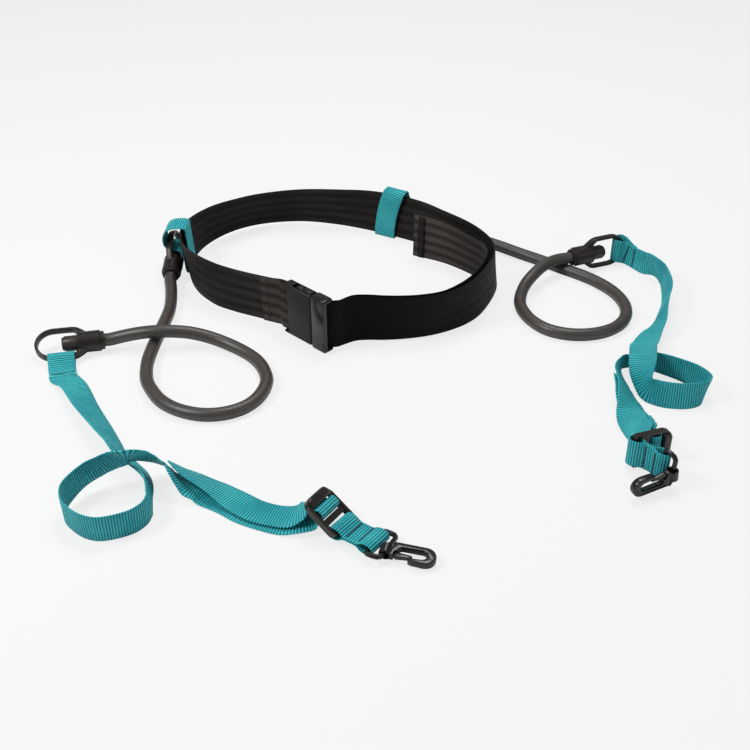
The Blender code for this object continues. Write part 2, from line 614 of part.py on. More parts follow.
WRAP_LEFT = [
    wrap_left(24.0, -4.65), wrap_left(16.0, -4.65), wrap_left(9.0, -4.65), wrap_left(3.5, -4.65), wrap_left(-0.8, -4.5),
    wrap_left(-3.9, -3.0), wrap_left(-4.6, 0.0), wrap_left(-3.7, 3.3), wrap_left(-0.8, 5.0), wrap_left(2.4, 4.6),
    wrap_left(5.4, 2.2), wrap_left(9.0, -0.4), wrap_left(13.0, -2.1), wrap_left(18.0, -2.75), wrap_left(24.0, -2.8),
    wrap_left(31.0, -3.0),
]
RUN_LEFT = [
    ((-238.1, -36.4, 1.6), (-259.7, -47.9, 7.4)),
    ((-220.9, -70.0, 1.4), (-241.0, -80.7, 11.9)),
    ((-203.0, -103.0, 1.2), (-215.5, -117.5, 15.0)),
    ((-194.0, -121.5, 1.0), (-198.6, -141.5, 15.8)),
    ((-186.3, -136.5, 0.9), (-188.3, -156.3, 16.2)),
    ((-179.0, -145.0, 0.8), (-180.3, -165.2, 15.9)),
    ((-172.0, -153.0, 0.7), (-172.8, -173.8, 15.4)),
    ((-166.3, -160.0, 0.6), (-166.4, -181.3, 14.6)),
    ((-161.6, -168.4, 0.5), (-160.6, -189.5, 14.4)),
    ((-157.4, -179.5, 0.4), (-154.8, -199.5, 15.8)),
    ((-153.6, -192.3, 0.3), (-151.4, -209.0, 19.3)),
    ((-149.8, -206.8, 0.3), (-149.4, -218.0, 23.1)),
    ((-147.8, -217.8, 0.3), (-149.0, -225.5, 24.4)),
    ((-150.2, -229.5, 0.3), (-152.0, -233.6, 25.2)),
    ((-160.0, -240.4, 0.3), (-161.5, -242.6, 25.6)),
    ((-179.1, -247.6, 0.3), (-179.8, -249.0, 25.6)),
    ((-193.0, -245.6, 0.3), (-193.8, -246.4, 25.6)),
    ((-205.2, -237.0, 0.3), (-206.0, -237.9, 25.6)),
    ((-213.9, -227.1, 1.5), (-214.7, -227.6, 26.8)),
    ((-216.1, -214.8, 3.3), (-217.1, -214.3, 28.6)),
    ((-211.9, -202.4, 5.9), (-212.0, -203.6, 31.2)),
    ((-204.3, -190.3, 8.7), (-202.1, -192.8, 34.0)),
    ((-194.1, -183.1, 12.8), (-190.4, -188.7, 37.4)),
    ((-184.0, -179.8, 17.2), (-180.4, -188.2, 41.0)),
    ((-172.8, -178.6, 21.8), (-170.4, -190.6, 44.3)),
    ((-166.5, -175.4, 20.9), (-163.2, -188.6, 42.4)),
    ((-161.3, -171.2, 17.9), (-157.5, -185.8, 38.3)),
    ((-156.2, -168.1, 14.8), (-151.8, -183.8, 34.0)),
    ((-150.8, -166.8, 12.4), (-147.2, -183.4, 31.2)),
    ((-145.2, -167.3, 10.4), (-143.0, -184.5, 28.8)),
    ((-139.6, -168.3, 8.2), (-139.3, -186.0, 26.0)),
    ((-134.5, -172.2, 6.4), (-137.3, -189.4, 22.8)),
    ((-128.0, -176.0, 4.2), (-134.4, -192.8, 18.2)),
    ((-119.8, -180.0, 2.0), (-131.2, -196.0, 13.4)),
    ((-112.0, -183.0, 1.0), (-127.0, -199.4, 8.2)),
    ((-103.5, -185.0, 0.9), (-120.4, -201.8, 5.0)),
    ((-97.0, -187.2, 0.9), (-114.0, -205.6, 2.0)),
    ((-90.0, -190.2, 0.9), (-105.6, -209.8, 1.0)),
    ((-81.1, -195.3, 0.9), (-93.8, -217.3, 0.9)),
    ((-67.8, -205.2, 0.9), (-79.7, -227.6, 0.9)),
    ((-51.6, -212.9, 0.9), (-61.9, -236.1, 0.9)),
    ((-37.5, -218.0, 2.4), (-45.0, -242.2, 1.4)),
    ((-27.5, -218.5, 6.0), (-31.0, -244.0, 4.0)),
]

LOCK_LEFT = frame_of((-4.6, -232.6, 15.1), heading(-33.5, -33.5), heading(62.0, -7.5))
LOCK_RIGHT = frame_of((258.8, -151.6, 16.9), heading(199.0), (0, 0, -1))


def in_lock(frame, x, z, flip=1.0):
    """A strap station inside a ladder lock: across its bars at a place along it and a height over it."""
    half = flip * STRAP_WIDTH / 2
    return in_layout(frame, x, half, z), in_layout(frame, x, -half, z)


def through_lock(frame, flip=1.0):
    """Up through the second slot, over the lock bar and into the first slot."""
    places = [(-1.0, -2.6), (-1.0, 0.8), (-1.6, 2.7), (-3.4, 3.9), (-7.2, 3.9), (-9.1, 2.7), (-9.8, 0.9), (-9.8, 0.3)]
    return [in_lock(frame, x, z, flip) for x, z in places]


ENTRY_LEFT = [
    ((-17.5, -217.0, 9.0), (-17.5, -242.0, 6.6)),
    in_lock(LOCK_LEFT, -4.4, -7.0),
]
band("strap_run_left", WRAP_LEFT + RUN_LEFT + ENTRY_LEFT + through_lock(LOCK_LEFT), STRAP_WIDTH, STRAP_THICK, 7.0, TEAL)
TAIL_LEFT = [
    in_lock(LOCK_LEFT, -9.8, -0.1, -1.0),
    in_lock(LOCK_LEFT, -9.9, -2.4, -1.0),
    in_lock(LOCK_LEFT, -12.0, -5.2, -1.0),
    in_lock(LOCK_LEFT, -16.0, -7.6, -1.0),
    ((-29.5, -239.0, 11.0), (-24.0, -213.5, 13.6)),
    ((-39.0, -238.5, 5.6), (-31.5, -214.5, 7.4)),
    ((-53.0, -234.2, 3.6), (-44.5, -210.5, 3.6)),
    ((-70.5, -227.5, 3.6), (-59.8, -205.0, 3.6)),
    ((-87.0, -216.0, 4.4), (-76.0, -193.8, 3.6)),
    ((-99.0, -206.0, 8.6), (-90.0, -185.0, 3.6)),
    ((-107.5, -200.4, 12.4), (-100.6, -179.0, 3.8)),
    ((-114.6, -195.4, 14.2), (-110.6, -173.2, 4.0)),
    ((-121.2, -190.2, 15.4), (-120.6, -167.4, 4.4)),
    ((-126.8, -184.6, 16.6), (-130.0, -161.8, 4.8)),
    ((-131.6, -178.4, 17.6), (-138.4, -156.4, 5.0)),
]
band("strap_tail_left", TAIL_LEFT, STRAP_WIDTH, STRAP_THICK, 7.0, TEAL)


# Strap on the right: sewn round the ring's end, on edge, over its own coil and doubled into the other ladder lock
def upright(x, y, low):
    return (x, y, low), (x, y, low + STRAP_WIDTH)


WRAP_RIGHT = [
    upright(315.4, 192.7, 1.6), upright(313.2, 197.2, 2.0), upright(310.9, 202.6, 2.8), upright(308.8, 208.0, 3.8),
    upright(306.4, 212.2, 4.6), upright(302.2, 214.8, 5.2), upright(297.0, 213.0, 5.6), upright(293.2, 209.2, 5.7),
    upright(291.9, 204.6, 5.7), upright(293.6, 200.8, 5.6), upright(297.6, 199.2, 5.0), upright(303.0, 200.6, 3.2),
]
RUN_RIGHT = [
    ((308.6, 198.9, 1.6), (309.0, 199.4, 27.0)),
    ((315.0, 189.5, 1.1), (315.8, 190.3, 26.5)),
    ((321.3, 179.3, 1.6), (322.6, 180.6, 26.9)),
    ((328.3, 173.5, 3.6), (326.6, 172.6, 28.8)),
    ((333.6, 166.0, 4.2), (330.6, 164.8, 29.3)),
    ((336.2, 156.5, 3.4), (335.4, 156.0, 28.6)),
    ((336.3, 147.5, 2.0), (338.6, 147.4, 27.2)),
    ((332.9, 127.0, 1.0), (339.4, 126.0, 25.4)),
    ((328.4, 110.0, 1.0), (336.0, 108.4, 25.1)),
    ((320.4, 90.0, 1.0), (328.6, 87.8, 24.8)),
    ((312.6, 73.4, 1.0), (323.4, 69.6, 23.7)),
    ((303.0, 60.0, 1.2), (319.6, 53.4, 19.2)),
    ((291.0, 47.0, 2.2), (312.6, 38.8, 13.0)),
    ((280.5, 24.0, 10.0), (304.6, 17.0, 16.0)),
    ((273.0, 4.0, 20.0), (298.0, 0.0, 22.8)),
    ((268.6, -13.0, 26.6), (293.4, -16.6, 28.0)),
    ((265.6, -29.0, 26.2), (288.6, -34.0, 30.8)),
    ((266.0, -43.0, 17.0), (282.6, -48.4, 30.2)),
    ((271.0, -54.0, 5.6), (278.2, -56.6, 28.2)),
    ((279.0, -63.2, 0.3), (279.6, -59.8, 25.5)),
    ((289.0, -70.0, 0.3), (290.4, -65.0, 25.1)),
    ((301.0, -73.0, 0.3), (302.8, -68.0, 25.1)),
    ((314.0, -72.6, 0.3), (316.4, -68.4, 25.1)),
    ((324.5, -67.5, 0.3), (328.6, -65.6, 25.1)),
    ((329.6, -57.0, 0.3), (335.4, -57.0, 25.0)),
    ((328.6, -46.5, 0.3), (333.4, -48.6, 25.1)),
    ((322.6, -35.0, 0.3), (326.6, -39.0, 25.0)),
    ((313.6, -25.6, 0.3), (316.6, -30.6, 25.0)),
    ((303.0, -17.4, 0.3), (305.4, -23.0, 24.9)),
    ((291.5, -10.0, 0.3), (293.6, -17.6, 24.4)),
    ((279.0, -4.6, 0.4), (280.4, -17.4, 22.2)),
    ((266.6, -7.0, 0.5), (263.6, -21.6, 21.0)),
    ((262.6, -19.0, 0.6), (255.6, -36.0, 18.0)),
    ((264.6, -35.0, 1.6), (253.4, -49.0, 19.0)),
    ((266.0, -50.0, 3.4), (252.2, -60.0, 19.0)),
    ((267.6, -63.0, 4.0), (250.6, -71.5, 14.8)),
    ((268.8, -78.0, 4.8), (249.8, -81.5, 8.0)),
    ((266.4, -93.6, 9.6), (248.0, -91.0, 3.8)),
    ((265.0, -108.2, 15.4), (248.0, -100.2, 2.6)),
    ((265.6, -119.7, 18.6), (249.6, -110.4, 2.0)),
    ((267.0, -129.0, 21.8), (253.2, -120.5, 2.0)),
    ((265.0, -137.0, 26.6), (257.0, -133.0, 3.2)),
    ((261.0, -142.6, 29.2), (259.4, -142.0, 4.0)),
]
band("strap_run_right", WRAP_RIGHT + RUN_RIGHT + through_lock(LOCK_RIGHT, -1.0), STRAP_WIDTH, STRAP_THICK, 7.0, TEAL)
TAIL_RIGHT = [
    in_lock(LOCK_RIGHT, -9.8, -0.1, -1.0),
    in_lock(LOCK_RIGHT, -9.8, -2.6, -1.0),
    in_lock(LOCK_RIGHT, -9.2, -6.6, -1.0),
    ((269.4, -134.0, 25.4), (262.6, -131.0, 2.0)),
    ((270.6, -125.6, 18.4), (257.4, -117.6, 1.0)),
    ((269.6, -116.0, 14.8), (254.8, -106.6, 0.9)),
    ((269.2, -105.0, 11.0), (253.4, -96.6, 0.8)),
    ((270.4, -91.0, 4.4), (252.2, -88.2, 0.8)),
    ((270.0, -77.0, 1.2), (251.2, -80.6, 3.6)),
    ((266.0, -62.0, 0.8), (248.8, -70.4, 11.6)),
    ((263.2, -50.4, 0.7), (249.4, -60.2, 16.4)),
    ((261.6, -38.0, 0.6), (249.8, -50.6, 18.6)),
]
band("strap_tail_right", TAIL_RIGHT, STRAP_WIDTH, STRAP_THICK, 7.0, TEAL)


# Ladder locks: X from the thumb bar to the end bar, Y along the bars, Z to the thumb side
def ladder_lock(side, frame):
    half = LOCK_WIDTH / 2
    inside = LOCK_OPENING / 2
    base = LOCK_THICK / 2
    outline = [
        (-20.0, half - 7.5), (-19.2, half - 4.5), (-16.5, half - 1.9), (-12.0, half), (13.0, half), (15.5, half - 2.5),
    ]
    outline += [(x, -y) for x, y in reversed(outline)]
    body = add_object(f"ladder_lock_{side}", prism_mesh("lock", outline, -base, base), frame, PARTS, LOCK_BLACK)
    long, short = half - 3.5, half - 6.0
    lip = [(-19.8, -short), (-19.8, short), (-17.3, long), (-11.6, long), (-11.6, -long), (-17.3, -long)]
    raised = tool(f"lock_lip_{side}", prism_mesh("lip", lip, 0.0, base + 2.4), frame)
    bevel(raised, 1.6, 3, 30.0)
    join(body, raised)
    holes = [(-11.5, -8.2), (-2.6, 0.6), (6.0, 11.5)]
    for number, (low, high) in enumerate(holes):
        hole = box_mesh("slot", (low, -inside, -10.0), (high, inside, 10.0))
        cut(body, tool(f"lock_slot_{side}_{number}", hole, frame))
    above = box_mesh("relief", (-8.3, -inside, 1.6), (6.1, inside, 10.0))
    below = box_mesh("relief", (-8.3, -inside, -10.0), (0.7, inside, -1.6))
    cut(body, tool(f"lock_above_{side}", above, frame), tool(f"lock_below_{side}", below, frame))
    ends = box_mesh("relief", (11.4, -inside, 2.0), (20.0, inside, 10.0))
    under = box_mesh("relief", (11.4, -inside, -10.0), (20.0, inside, -2.0))
    cut(body, tool(f"lock_end_above_{side}", ends, frame), tool(f"lock_end_below_{side}", under, frame))
    bevel(body, 0.4, 1, 50.0)


ladder_lock("left", LOCK_LEFT)
ladder_lock("right", LOCK_RIGHT)
BAR_AT = 13.5

# Tabs of webbing between ladder lock and hook, sewn across twice
TAB_START = [(-5.0, 0.0), (-4.4, 2.6), (-2.0, 4.5), (1.4, 4.7), (4.6, 3.7), (7.6, 1.8), (10.4, 0.95), (13.5, 0.95)]
TAB_LOOP = [(-15.8, 0.95), (-13.4, 1.6), (-10.8, 3.3), (-7.0, 4.2), (-3.0, 3.6), (-0.7, 1.9)]
EYE_IN_TAB = 5.35


def tab(side, frame, fold):
    """The tab, from the ladder lock's end bar to its fold round the eye."""
    upper = TAB_START + [(fold + x, z) for x, z in TAB_LOOP]
    profile = upper + [(fold, 0.0)] + [(x, -z) for x, z in reversed(upper[1:])]
    half = STRAP_WIDTH / 2
    stations = [(in_layout(frame, x, -half, z), in_layout(frame, x, half, z)) for x, z in profile]
    band(f"hook_tab_{side}", stations, STRAP_WIDTH, STRAP_THICK, 2.6, TEAL_LOOP, cyclic=True)


def rolled(degrees, plan):
    """The across direction of a piece whose heading is given, rolled by an angle: its left side is raised."""
    side = heading(plan + 90.0)
    roll = math.radians(degrees)
    return side * math.cos(roll) + Vector((0, 0, 1)) * math.sin(roll)


TAB_LEFT = frame_of(in_layout(LOCK_LEFT, BAR_AT), heading(-33.5, -2.6), heading(58.0, -6.0))
TAB_RIGHT = frame_of(in_layout(LOCK_RIGHT, BAR_AT) + Vector((0, 0, 0.5)), heading(-43.0), (0, 0, -1))
FOLD_LEFT = 35.4
FOLD_RIGHT = 32.4
tab("left", TAB_LEFT, FOLD_LEFT)
tab("right", TAB_RIGHT, FOLD_RIGHT)
EYE_LEFT = frame_of(in_layout(TAB_LEFT, FOLD_LEFT - EYE_IN_TAB), heading(-27.0, -1.0), heading(63.0, -3.5))
EYE_RIGHT = frame_of(in_layout(TAB_RIGHT, FOLD_RIGHT - EYE_IN_TAB) + Vector((0, 0, 0.6)), heading(-58.0, -4.0), (0, 0, -1))


BAR_B = 12.0


def hook_eye(side, frame):
    """The moulded loop between the tab and the hook, one closed ring of round bar."""
    outline = [
        (0.0, 0.0), (0.0, 8.0), (0.0, 13.6), (0.6, 14.9), (2.0, 15.4), (6.0, 15.4), (9.6, 14.8), (11.4, 13.2),
        (BAR_B, 11.0), (BAR_B, 5.0),
    ]
    ring = outline + [(BAR_B, 0.0)] + [(x, -y) for x, y in reversed(outline[1:])]
    curve = bpy.data.curves.new("eye", "CURVE")
    curve.dimensions = "3D"
    curve.bevel_depth = EYE_WIRE / 2 * MM
    curve.bevel_resolution = 2
    spline = curve.splines.new("POLY")
    spline.points.add(len(ring) - 1)
    for point, (x, y) in zip(spline.points, ring):
        point.co = (x * MM, y * MM, 0.0, 1.0)
    spline.use_cyclic_u = True
    add_object(f"hook_eye_{side}", curve, frame, PARTS, HOOK_BLACK)


hook_eye("left", EYE_LEFT)
hook_eye("right", EYE_RIGHT)
HINGE_X = 9.0
HINGE_Y = -3.2
HINGE_R = 2.5


def hook_outline():
    """The flat hook: straight spine, round end and the nose that the gate rests against."""
    half = HOOK_WIDTH / 2
    centre = HOOK_LENGTH - half
    outer = [(centre + half * math.sin(a), half * math.cos(a)) for a in [math.pi * k / 14 for k in range(15)]]
    inner_r = 4.1
    end = centre - 2.6
    inner = [(end + inner_r * math.sin(a), -inner_r * math.cos(a)) for a in [math.pi * k / 10 for k in range(11)]]
    nose = [(21.0, -8.2), (17.8, -7.2), (18.8, -5.1)]
    back = [(11.6, 3.9), (10.2, 2.4), (10.2, 0.2), (7.0, -1.6), (7.0, -5.8), (3.0, -5.8)]
    return [(5.2, half)] + outer + nose + inner + back


def hook(side, frame):
    """Hook body with its knuckle round the eye's far bar, and the sprung gate."""
    half = HOOK_THICK / 2
    body = add_object(f"hook_body_{side}", prism_mesh("hook", hook_outline(), -half, half), frame, PARTS, HOOK_BLACK)
    groove = box_mesh("groove", (8.0, 5.6, half - 0.7), (30.0, 7.0, half + 2.0))
    groove_back = box_mesh("groove", (8.0, 5.6, -half - 2.0), (30.0, 7.0, -half + 0.7))
    wide = KNUCKLE_WIDTH / 2
    rim = KNUCKLE_RADIUS - 0.7
    knuckle = round_mesh("knuckle", [(-wide, rim), (-wide + 0.7, rim + 0.7), (wide - 0.7, rim + 0.7), (wide, rim)], "Y", 24)
    neck = box_mesh("neck", (0.0, -5.1, -half + 0.3), (6.0, 5.2, half - 0.3))
    bevel(body, 1.0, 2, 50.0)
    join(body, tool(f"hook_neck_{side}", neck, frame), tool(f"hook_knuckle_{side}", knuckle, frame))
    flare = KNUCKLE_BORE / 2 + 1.4
    bore = round_mesh("bore", [(-wide - 1.0, flare), (-1.0, KNUCKLE_BORE / 2), (1.0, KNUCKLE_BORE / 2), (wide + 1.0, flare)], "Y", 24)
    socket = round_mesh("socket", [(-10.0, HINGE_R + GAP), (10.0, HINGE_R + GAP)], "Z", 24)
    place = frame @ Matrix.Translation(Vector((HINGE_X, HINGE_Y, 0.0)) * MM)
    cut(body, tool(f"hook_bore_{side}", bore, frame), tool(f"hook_socket_{side}", socket, place))
    cut(body, tool(f"hook_groove_{side}", groove, frame), tool(f"hook_groove_back_{side}", groove_back, frame))
    ends = [(HINGE_R * math.cos(a), HINGE_R * math.sin(a)) for a in [math.radians(80 + 20 * k) for k in range(11)]]
    gate_outline = ends + [(6.5, -1.6), (12.0, -1.2), (12.4, -0.5), (12.0, 1.5), (6.0, 2.2)]
    gate = add_object(
        f"hook_gate_{side}",
        prism_mesh("gate", gate_outline, -GATE_THICK / 2, GATE_THICK / 2), place, PARTS, HOOK_BLACK,
    )
    bevel(gate, 0.5, 2, 50.0)


HOOK_LEFT = frame_of(in_layout(EYE_LEFT, BAR_B, -5.0), heading(-14.0, -2.0), rolled(4.0, -14.0))
HOOK_RIGHT = frame_of(in_layout(EYE_RIGHT, BAR_B) + Vector((0, 0, -2.1)), heading(203.0, -6.0), (0, 0, -1))
hook("left", HOOK_LEFT)
hook("right", HOOK_RIGHT)
bpy.context.view_layer.update()
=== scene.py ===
"""Looks of the swim tether: webbing, rubber tubes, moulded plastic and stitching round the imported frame."""

import json
import math

import bmesh
import bpy
import numpy as np
from mathutils import Matrix, Vector

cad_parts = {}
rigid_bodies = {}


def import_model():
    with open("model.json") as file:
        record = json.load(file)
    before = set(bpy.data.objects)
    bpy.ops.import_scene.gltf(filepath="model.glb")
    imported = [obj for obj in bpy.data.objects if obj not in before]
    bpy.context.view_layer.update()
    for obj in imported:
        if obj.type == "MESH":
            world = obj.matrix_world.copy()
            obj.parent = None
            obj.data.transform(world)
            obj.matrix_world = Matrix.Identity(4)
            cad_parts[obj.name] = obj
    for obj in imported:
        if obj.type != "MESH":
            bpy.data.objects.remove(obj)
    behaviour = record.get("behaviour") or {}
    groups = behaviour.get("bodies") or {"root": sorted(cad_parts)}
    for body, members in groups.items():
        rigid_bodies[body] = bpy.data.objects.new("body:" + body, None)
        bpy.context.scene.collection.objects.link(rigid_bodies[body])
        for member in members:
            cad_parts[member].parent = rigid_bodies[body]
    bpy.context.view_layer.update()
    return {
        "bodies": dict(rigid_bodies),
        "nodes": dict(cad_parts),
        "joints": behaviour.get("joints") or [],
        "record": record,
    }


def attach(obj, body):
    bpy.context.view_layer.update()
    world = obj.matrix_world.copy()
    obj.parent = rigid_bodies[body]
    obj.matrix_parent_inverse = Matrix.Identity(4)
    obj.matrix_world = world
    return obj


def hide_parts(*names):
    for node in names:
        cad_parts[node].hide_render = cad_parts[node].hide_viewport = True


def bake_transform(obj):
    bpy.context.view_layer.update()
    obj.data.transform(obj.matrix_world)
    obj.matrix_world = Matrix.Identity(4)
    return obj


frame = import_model()

# Camera at the photograph's viewing angle
CAMERA_AT = (0.0266, -0.8984, 0.585)
CAMERA_PITCH = 34.0
CAMERA_LENS = 53.016
SENSOR_WIDTH = 36.0
camera_data = bpy.data.cameras.new("camera")
camera_data.sensor_fit = "HORIZONTAL"
camera_data.sensor_width = SENSOR_WIDTH
camera_data.lens = CAMERA_LENS
camera = bpy.data.objects.new("camera", camera_data)
camera.location = CAMERA_AT
camera.rotation_euler = (math.radians(90.0 - CAMERA_PITCH), 0.0, 0.0)
bpy.context.scene.collection.objects.link(camera)
bpy.context.scene.camera = camera
bpy.context.scene.view_settings.view_transform = "Standard"

# Millimetres to metres, and where the layout's origin lies
MM = 0.001
LAYOUT_X = -3.4
LAYOUT_Y = -13.4

# Sizes of the part in millimetres
BELT_WIDTH = 50.0
BELT_THICK = 1.4
BELT_LIFT = 1.9
STRAP_WIDTH = 25.4
STRAP_THICK = 1.5
FLOOR_CLEAR = 0.1
TUBE_DIAMETER = 12.7
SLEEVE_LENGTH = 25.0
TUBE_IN_SLEEVE = 18.0
RING_WIDTH = 36.0
RING_THICK = 3.0
BUCKLE_HEIGHT = 58.0
HOUSING_LENGTH = 39.5
FORK_END_LENGTH = 19.3
GAP = 0.3

# Ribs across the teal webbing, and how deep they are as a share of its thickness
RIB_PITCH = 2.2
RIB_DEPTH = 0.32

# Paler bands along the belt's cloth, and its twill and grooves
BAND_PITCH = 11.0
TWILL_PITCH = 1.5
GROOVE_PITCH = 1.25

# Yarns across each rib of the straps, and of the loops and tabs
STRAP_YARN = 0.95
LOOP_YARN = 1.0

# Length over which the belt's bands fade in, and where that begins past the fork's bar, as a share of it
BAND_FADE = 110.0
BANDS_FROM = 0.8

# Strength of the bands where they are painted dim as shade, as a share of their full strength: painted shade
PAINTED_SHADE_SHARE = 0.3

# Length along the belt, and along its tail, up to which the bands stay dim as painted shade; past it, on the
# belt's front-left outer face and the tail's inner face, which face the key light, they brighten to full
# strength as painted light
BELT_PAINTED_LIT_FROM = 820.0
TAIL_PAINTED_LIT_FROM = 190.0

# Wear of the tail's hem, as a share of the belt's
HEM_WEAR = 0.15

# Colours in linear light
PALE_FLOOR = (0.913, 0.913, 0.913, 1.0)
BELT_DARK = (0.0022, 0.0017, 0.0016, 1.0)
BELT_BAND = (0.102, 0.088, 0.079, 1.0)
TEAL = (0.016, 0.480, 0.500, 1.0)
# Darker, bluer teal painted into the rib valleys: painted shade
TEAL_VALLEY_SHADE = (0.001, 0.055, 0.130, 1.0)
TEAL_PALE = (0.090, 0.720, 0.690, 1.0)
THREAD_DARK = (0.0005, 0.005, 0.013, 1.0)
THREAD_BELT = (0.002, 0.002, 0.002, 1.0)
LATEX = (0.042, 0.036, 0.032)
FORK_BLACK = (0.0075, 0.007, 0.0068)
SLEEVE_BLACK = (0.016, 0.0125, 0.011)
PLUG_GREY = (0.036, 0.028, 0.024)
BUCKLE_BLACK = (0.0075, 0.0066, 0.0062)
LOCK_BLACK = (0.015, 0.012, 0.0105)
HOOK_BLACK = (0.0095, 0.008, 0.007)


# Node graphs
def new_material(name):
    paint = bpy.data.materials.new(name)
    paint.use_nodes = True
    return paint, paint.node_tree, paint.node_tree.nodes["Principled BSDF"]


def node(tree, kind, **values):
    made = tree.nodes.new(kind)
    for key, value in values.items():
        setattr(made, key, value)
    return made


def calculate(tree, operation, first, second=None, third=None):
    """A math node on sockets or numbers, and its output."""
    made = node(tree, "ShaderNodeMath", operation=operation)
    for socket, value in zip(made.inputs, (first, second, third)):
        if isinstance(value, bpy.types.NodeSocket):
            tree.links.new(value, socket)
        elif value is not None:
            socket.default_value = value
    return made.outputs[0]


def clamped(socket):
    """The output of a math node, kept from 0 to 1."""
    socket.node.use_clamp = True
    return socket


def noise(tree, coordinate, scale, detail):
    made = node(tree, "ShaderNodeTexNoise")
    made.inputs["Scale"].default_value = scale
    made.inputs["Detail"].default_value = detail
    tree.links.new(coordinate, made.inputs["Vector"])
    return made.outputs["Fac"]


def blend_colours(tree, factor, low, high):
    """A colour between two colours or sockets."""
    made = node(tree, "ShaderNodeMix", data_type="RGBA")
    tree.links.new(factor, made.inputs["Factor"])
    for socket, value in ((made.inputs[6], low), (made.inputs[7], high)):
        if isinstance(value, bpy.types.NodeSocket):
            tree.links.new(value, socket)
        else:
            socket.default_value = value
    return made.outputs[2]


def bump(tree, height, distance, strength, normal=None):
    made = node(tree, "ShaderNodeBump")
    made.inputs["Strength"].default_value = strength
    made.inputs["Distance"].default_value = distance
    tree.links.new(height, made.inputs["Height"])
    if normal is not None:
        tree.links.new(normal, made.inputs["Normal"])
    return made.outputs["Normal"]


def place_coordinate(tree):
    return node(tree, "ShaderNodeTexCoord").outputs["Object"]


def weave_coordinates(tree):
    """Millimetres along and across the webbing."""
    split = node(tree, "ShaderNodeSeparateXYZ")
    tree.links.new(node(tree, "ShaderNodeUVMap", uv_map="weave").outputs["UV"], split.inputs[0])
    return split.outputs["X"], split.outputs["Y"]


def wave(tree, value, pitch, offset=0.0):
    """A wave from 0 to 1 that repeats every pitch millimetres."""
    turned = calculate(tree, "MULTIPLY_ADD", value, 2.0 * math.pi / pitch, offset)
    return calculate(tree, "MULTIPLY_ADD", calculate(tree, "SINE", turned), 0.5, 0.5)


def teal_webbing(name, rib_pitch, yarn_pitch):
    """Ribbed nylon webbing: ribs across it, each crossed by fine yarns, with painted shade in the rib
    valleys.
    """
    paint, tree, shader = new_material(name)
    along, across = weave_coordinates(tree)
    ribs = wave(tree, along, rib_pitch, math.pi / 2)
    yarns = wave(tree, across, yarn_pitch)
    height = calculate(tree, "MULTIPLY_ADD", yarns, 0.3, ribs)
    place = place_coordinate(tree)
    worn = noise(tree, place, 38.0, 4.0)
    fuzz = noise(tree, place, 900.0, 2.0)
    # Painted shade: the rib valleys darken to a deep blue
    cloth = blend_colours(tree, calculate(tree, "MULTIPLY", height, 0.85), TEAL_VALLEY_SHADE, TEAL)
    patchy = clamped(calculate(tree, "MULTIPLY", calculate(tree, "MULTIPLY_ADD", worn, 1.6, -0.55), ribs))
    tree.links.new(blend_colours(tree, patchy, cloth, TEAL_PALE), shader.inputs["Base Color"])
    rough = calculate(tree, "MULTIPLY_ADD", fuzz, 0.2, 0.52)
    tree.links.new(rough, shader.inputs["Roughness"])
    shader.inputs["Specular IOR Level"].default_value = 0.35
    shader.inputs["Sheen Weight"].default_value = 0.12
    shader.inputs["Sheen Roughness"].default_value = 0.4
    shader.inputs["Sheen Tint"].default_value = (0.45, 0.85, 0.85, 1.0)
    fuzzy = calculate(tree, "MULTIPLY_ADD", fuzz, 0.35, height)
    tree.links.new(bump(tree, fuzzy, 0.0005, 0.75), shader.inputs["Normal"])
    return paint


def belt_cloth(name, painted_lit_from, wear=1.0):
    """Seat belt webbing with paler bands along it, which fade towards the fork, painted dim as shade on most
    of the belt and at full strength as painted light where it faces the key light.
    """
    paint, tree, shader = new_material(name)
    along, across = weave_coordinates(tree)
    twill = wave(tree, calculate(tree, "MULTIPLY_ADD", along, 0.9, across), TWILL_PITCH)
    panels = clamped(calculate(tree, "MULTIPLY_ADD", wave(tree, across, BAND_PITCH, 1.2), 0.75, 0.3))
    grooves = wave(tree, across, GROOVE_PITCH)
    place = place_coordinate(tree)
    worn = noise(tree, place, 14.0, 4.0)
    fuzz = noise(tree, place, 700.0, 2.0)
    strength = clamped(calculate(tree, "MULTIPLY", panels, calculate(tree, "MULTIPLY_ADD", worn, 2.0, -0.15)))
    fade_in = clamped(calculate(tree, "MULTIPLY_ADD", along, 1.0 / BAND_FADE, -BANDS_FROM))
    # Painted light: past a set length the bands brighten to full strength where the belt faces the key light;
    # before it they stay dim as painted shade
    painted_lit = clamped(calculate(tree, "MULTIPLY_ADD", along, 1.0 / BAND_FADE, -painted_lit_from / BAND_FADE))
    painted_light_strength = calculate(tree, "MULTIPLY_ADD", painted_lit, wear * (1.0 - PAINTED_SHADE_SHARE), wear * PAINTED_SHADE_SHARE)
    strength = calculate(tree, "MULTIPLY", strength, calculate(tree, "MULTIPLY", fade_in, painted_light_strength))
    speckle = clamped(calculate(tree, "MULTIPLY_ADD", noise(tree, place, 1500.0, 2.0), 2.4, -0.4))
    weave = calculate(tree, "MULTIPLY", calculate(tree, "MULTIPLY_ADD", twill, 0.5, 0.6), speckle)
    shade = calculate(tree, "MULTIPLY", strength, weave)
    tree.links.new(blend_colours(tree, shade, BELT_DARK, BELT_BAND), shader.inputs["Base Color"])
    tree.links.new(calculate(tree, "MULTIPLY_ADD", fuzz, 0.2, 0.42), shader.inputs["Roughness"])
    shader.inputs["Specular IOR Level"].default_value = 0.09
    shader.inputs["Sheen Weight"].default_value = 0.02
    shader.inputs["Sheen Roughness"].default_value = 0.35
    shader.inputs["Sheen Tint"].default_value = (0.8, 0.72, 0.66, 1.0)
    body = calculate(tree, "MULTIPLY_ADD", panels, 0.9, calculate(tree, "MULTIPLY_ADD", twill, 0.5, grooves))
    tree.links.new(bump(tree, body, 0.0004, 0.7), shader.inputs["Normal"])
    return paint


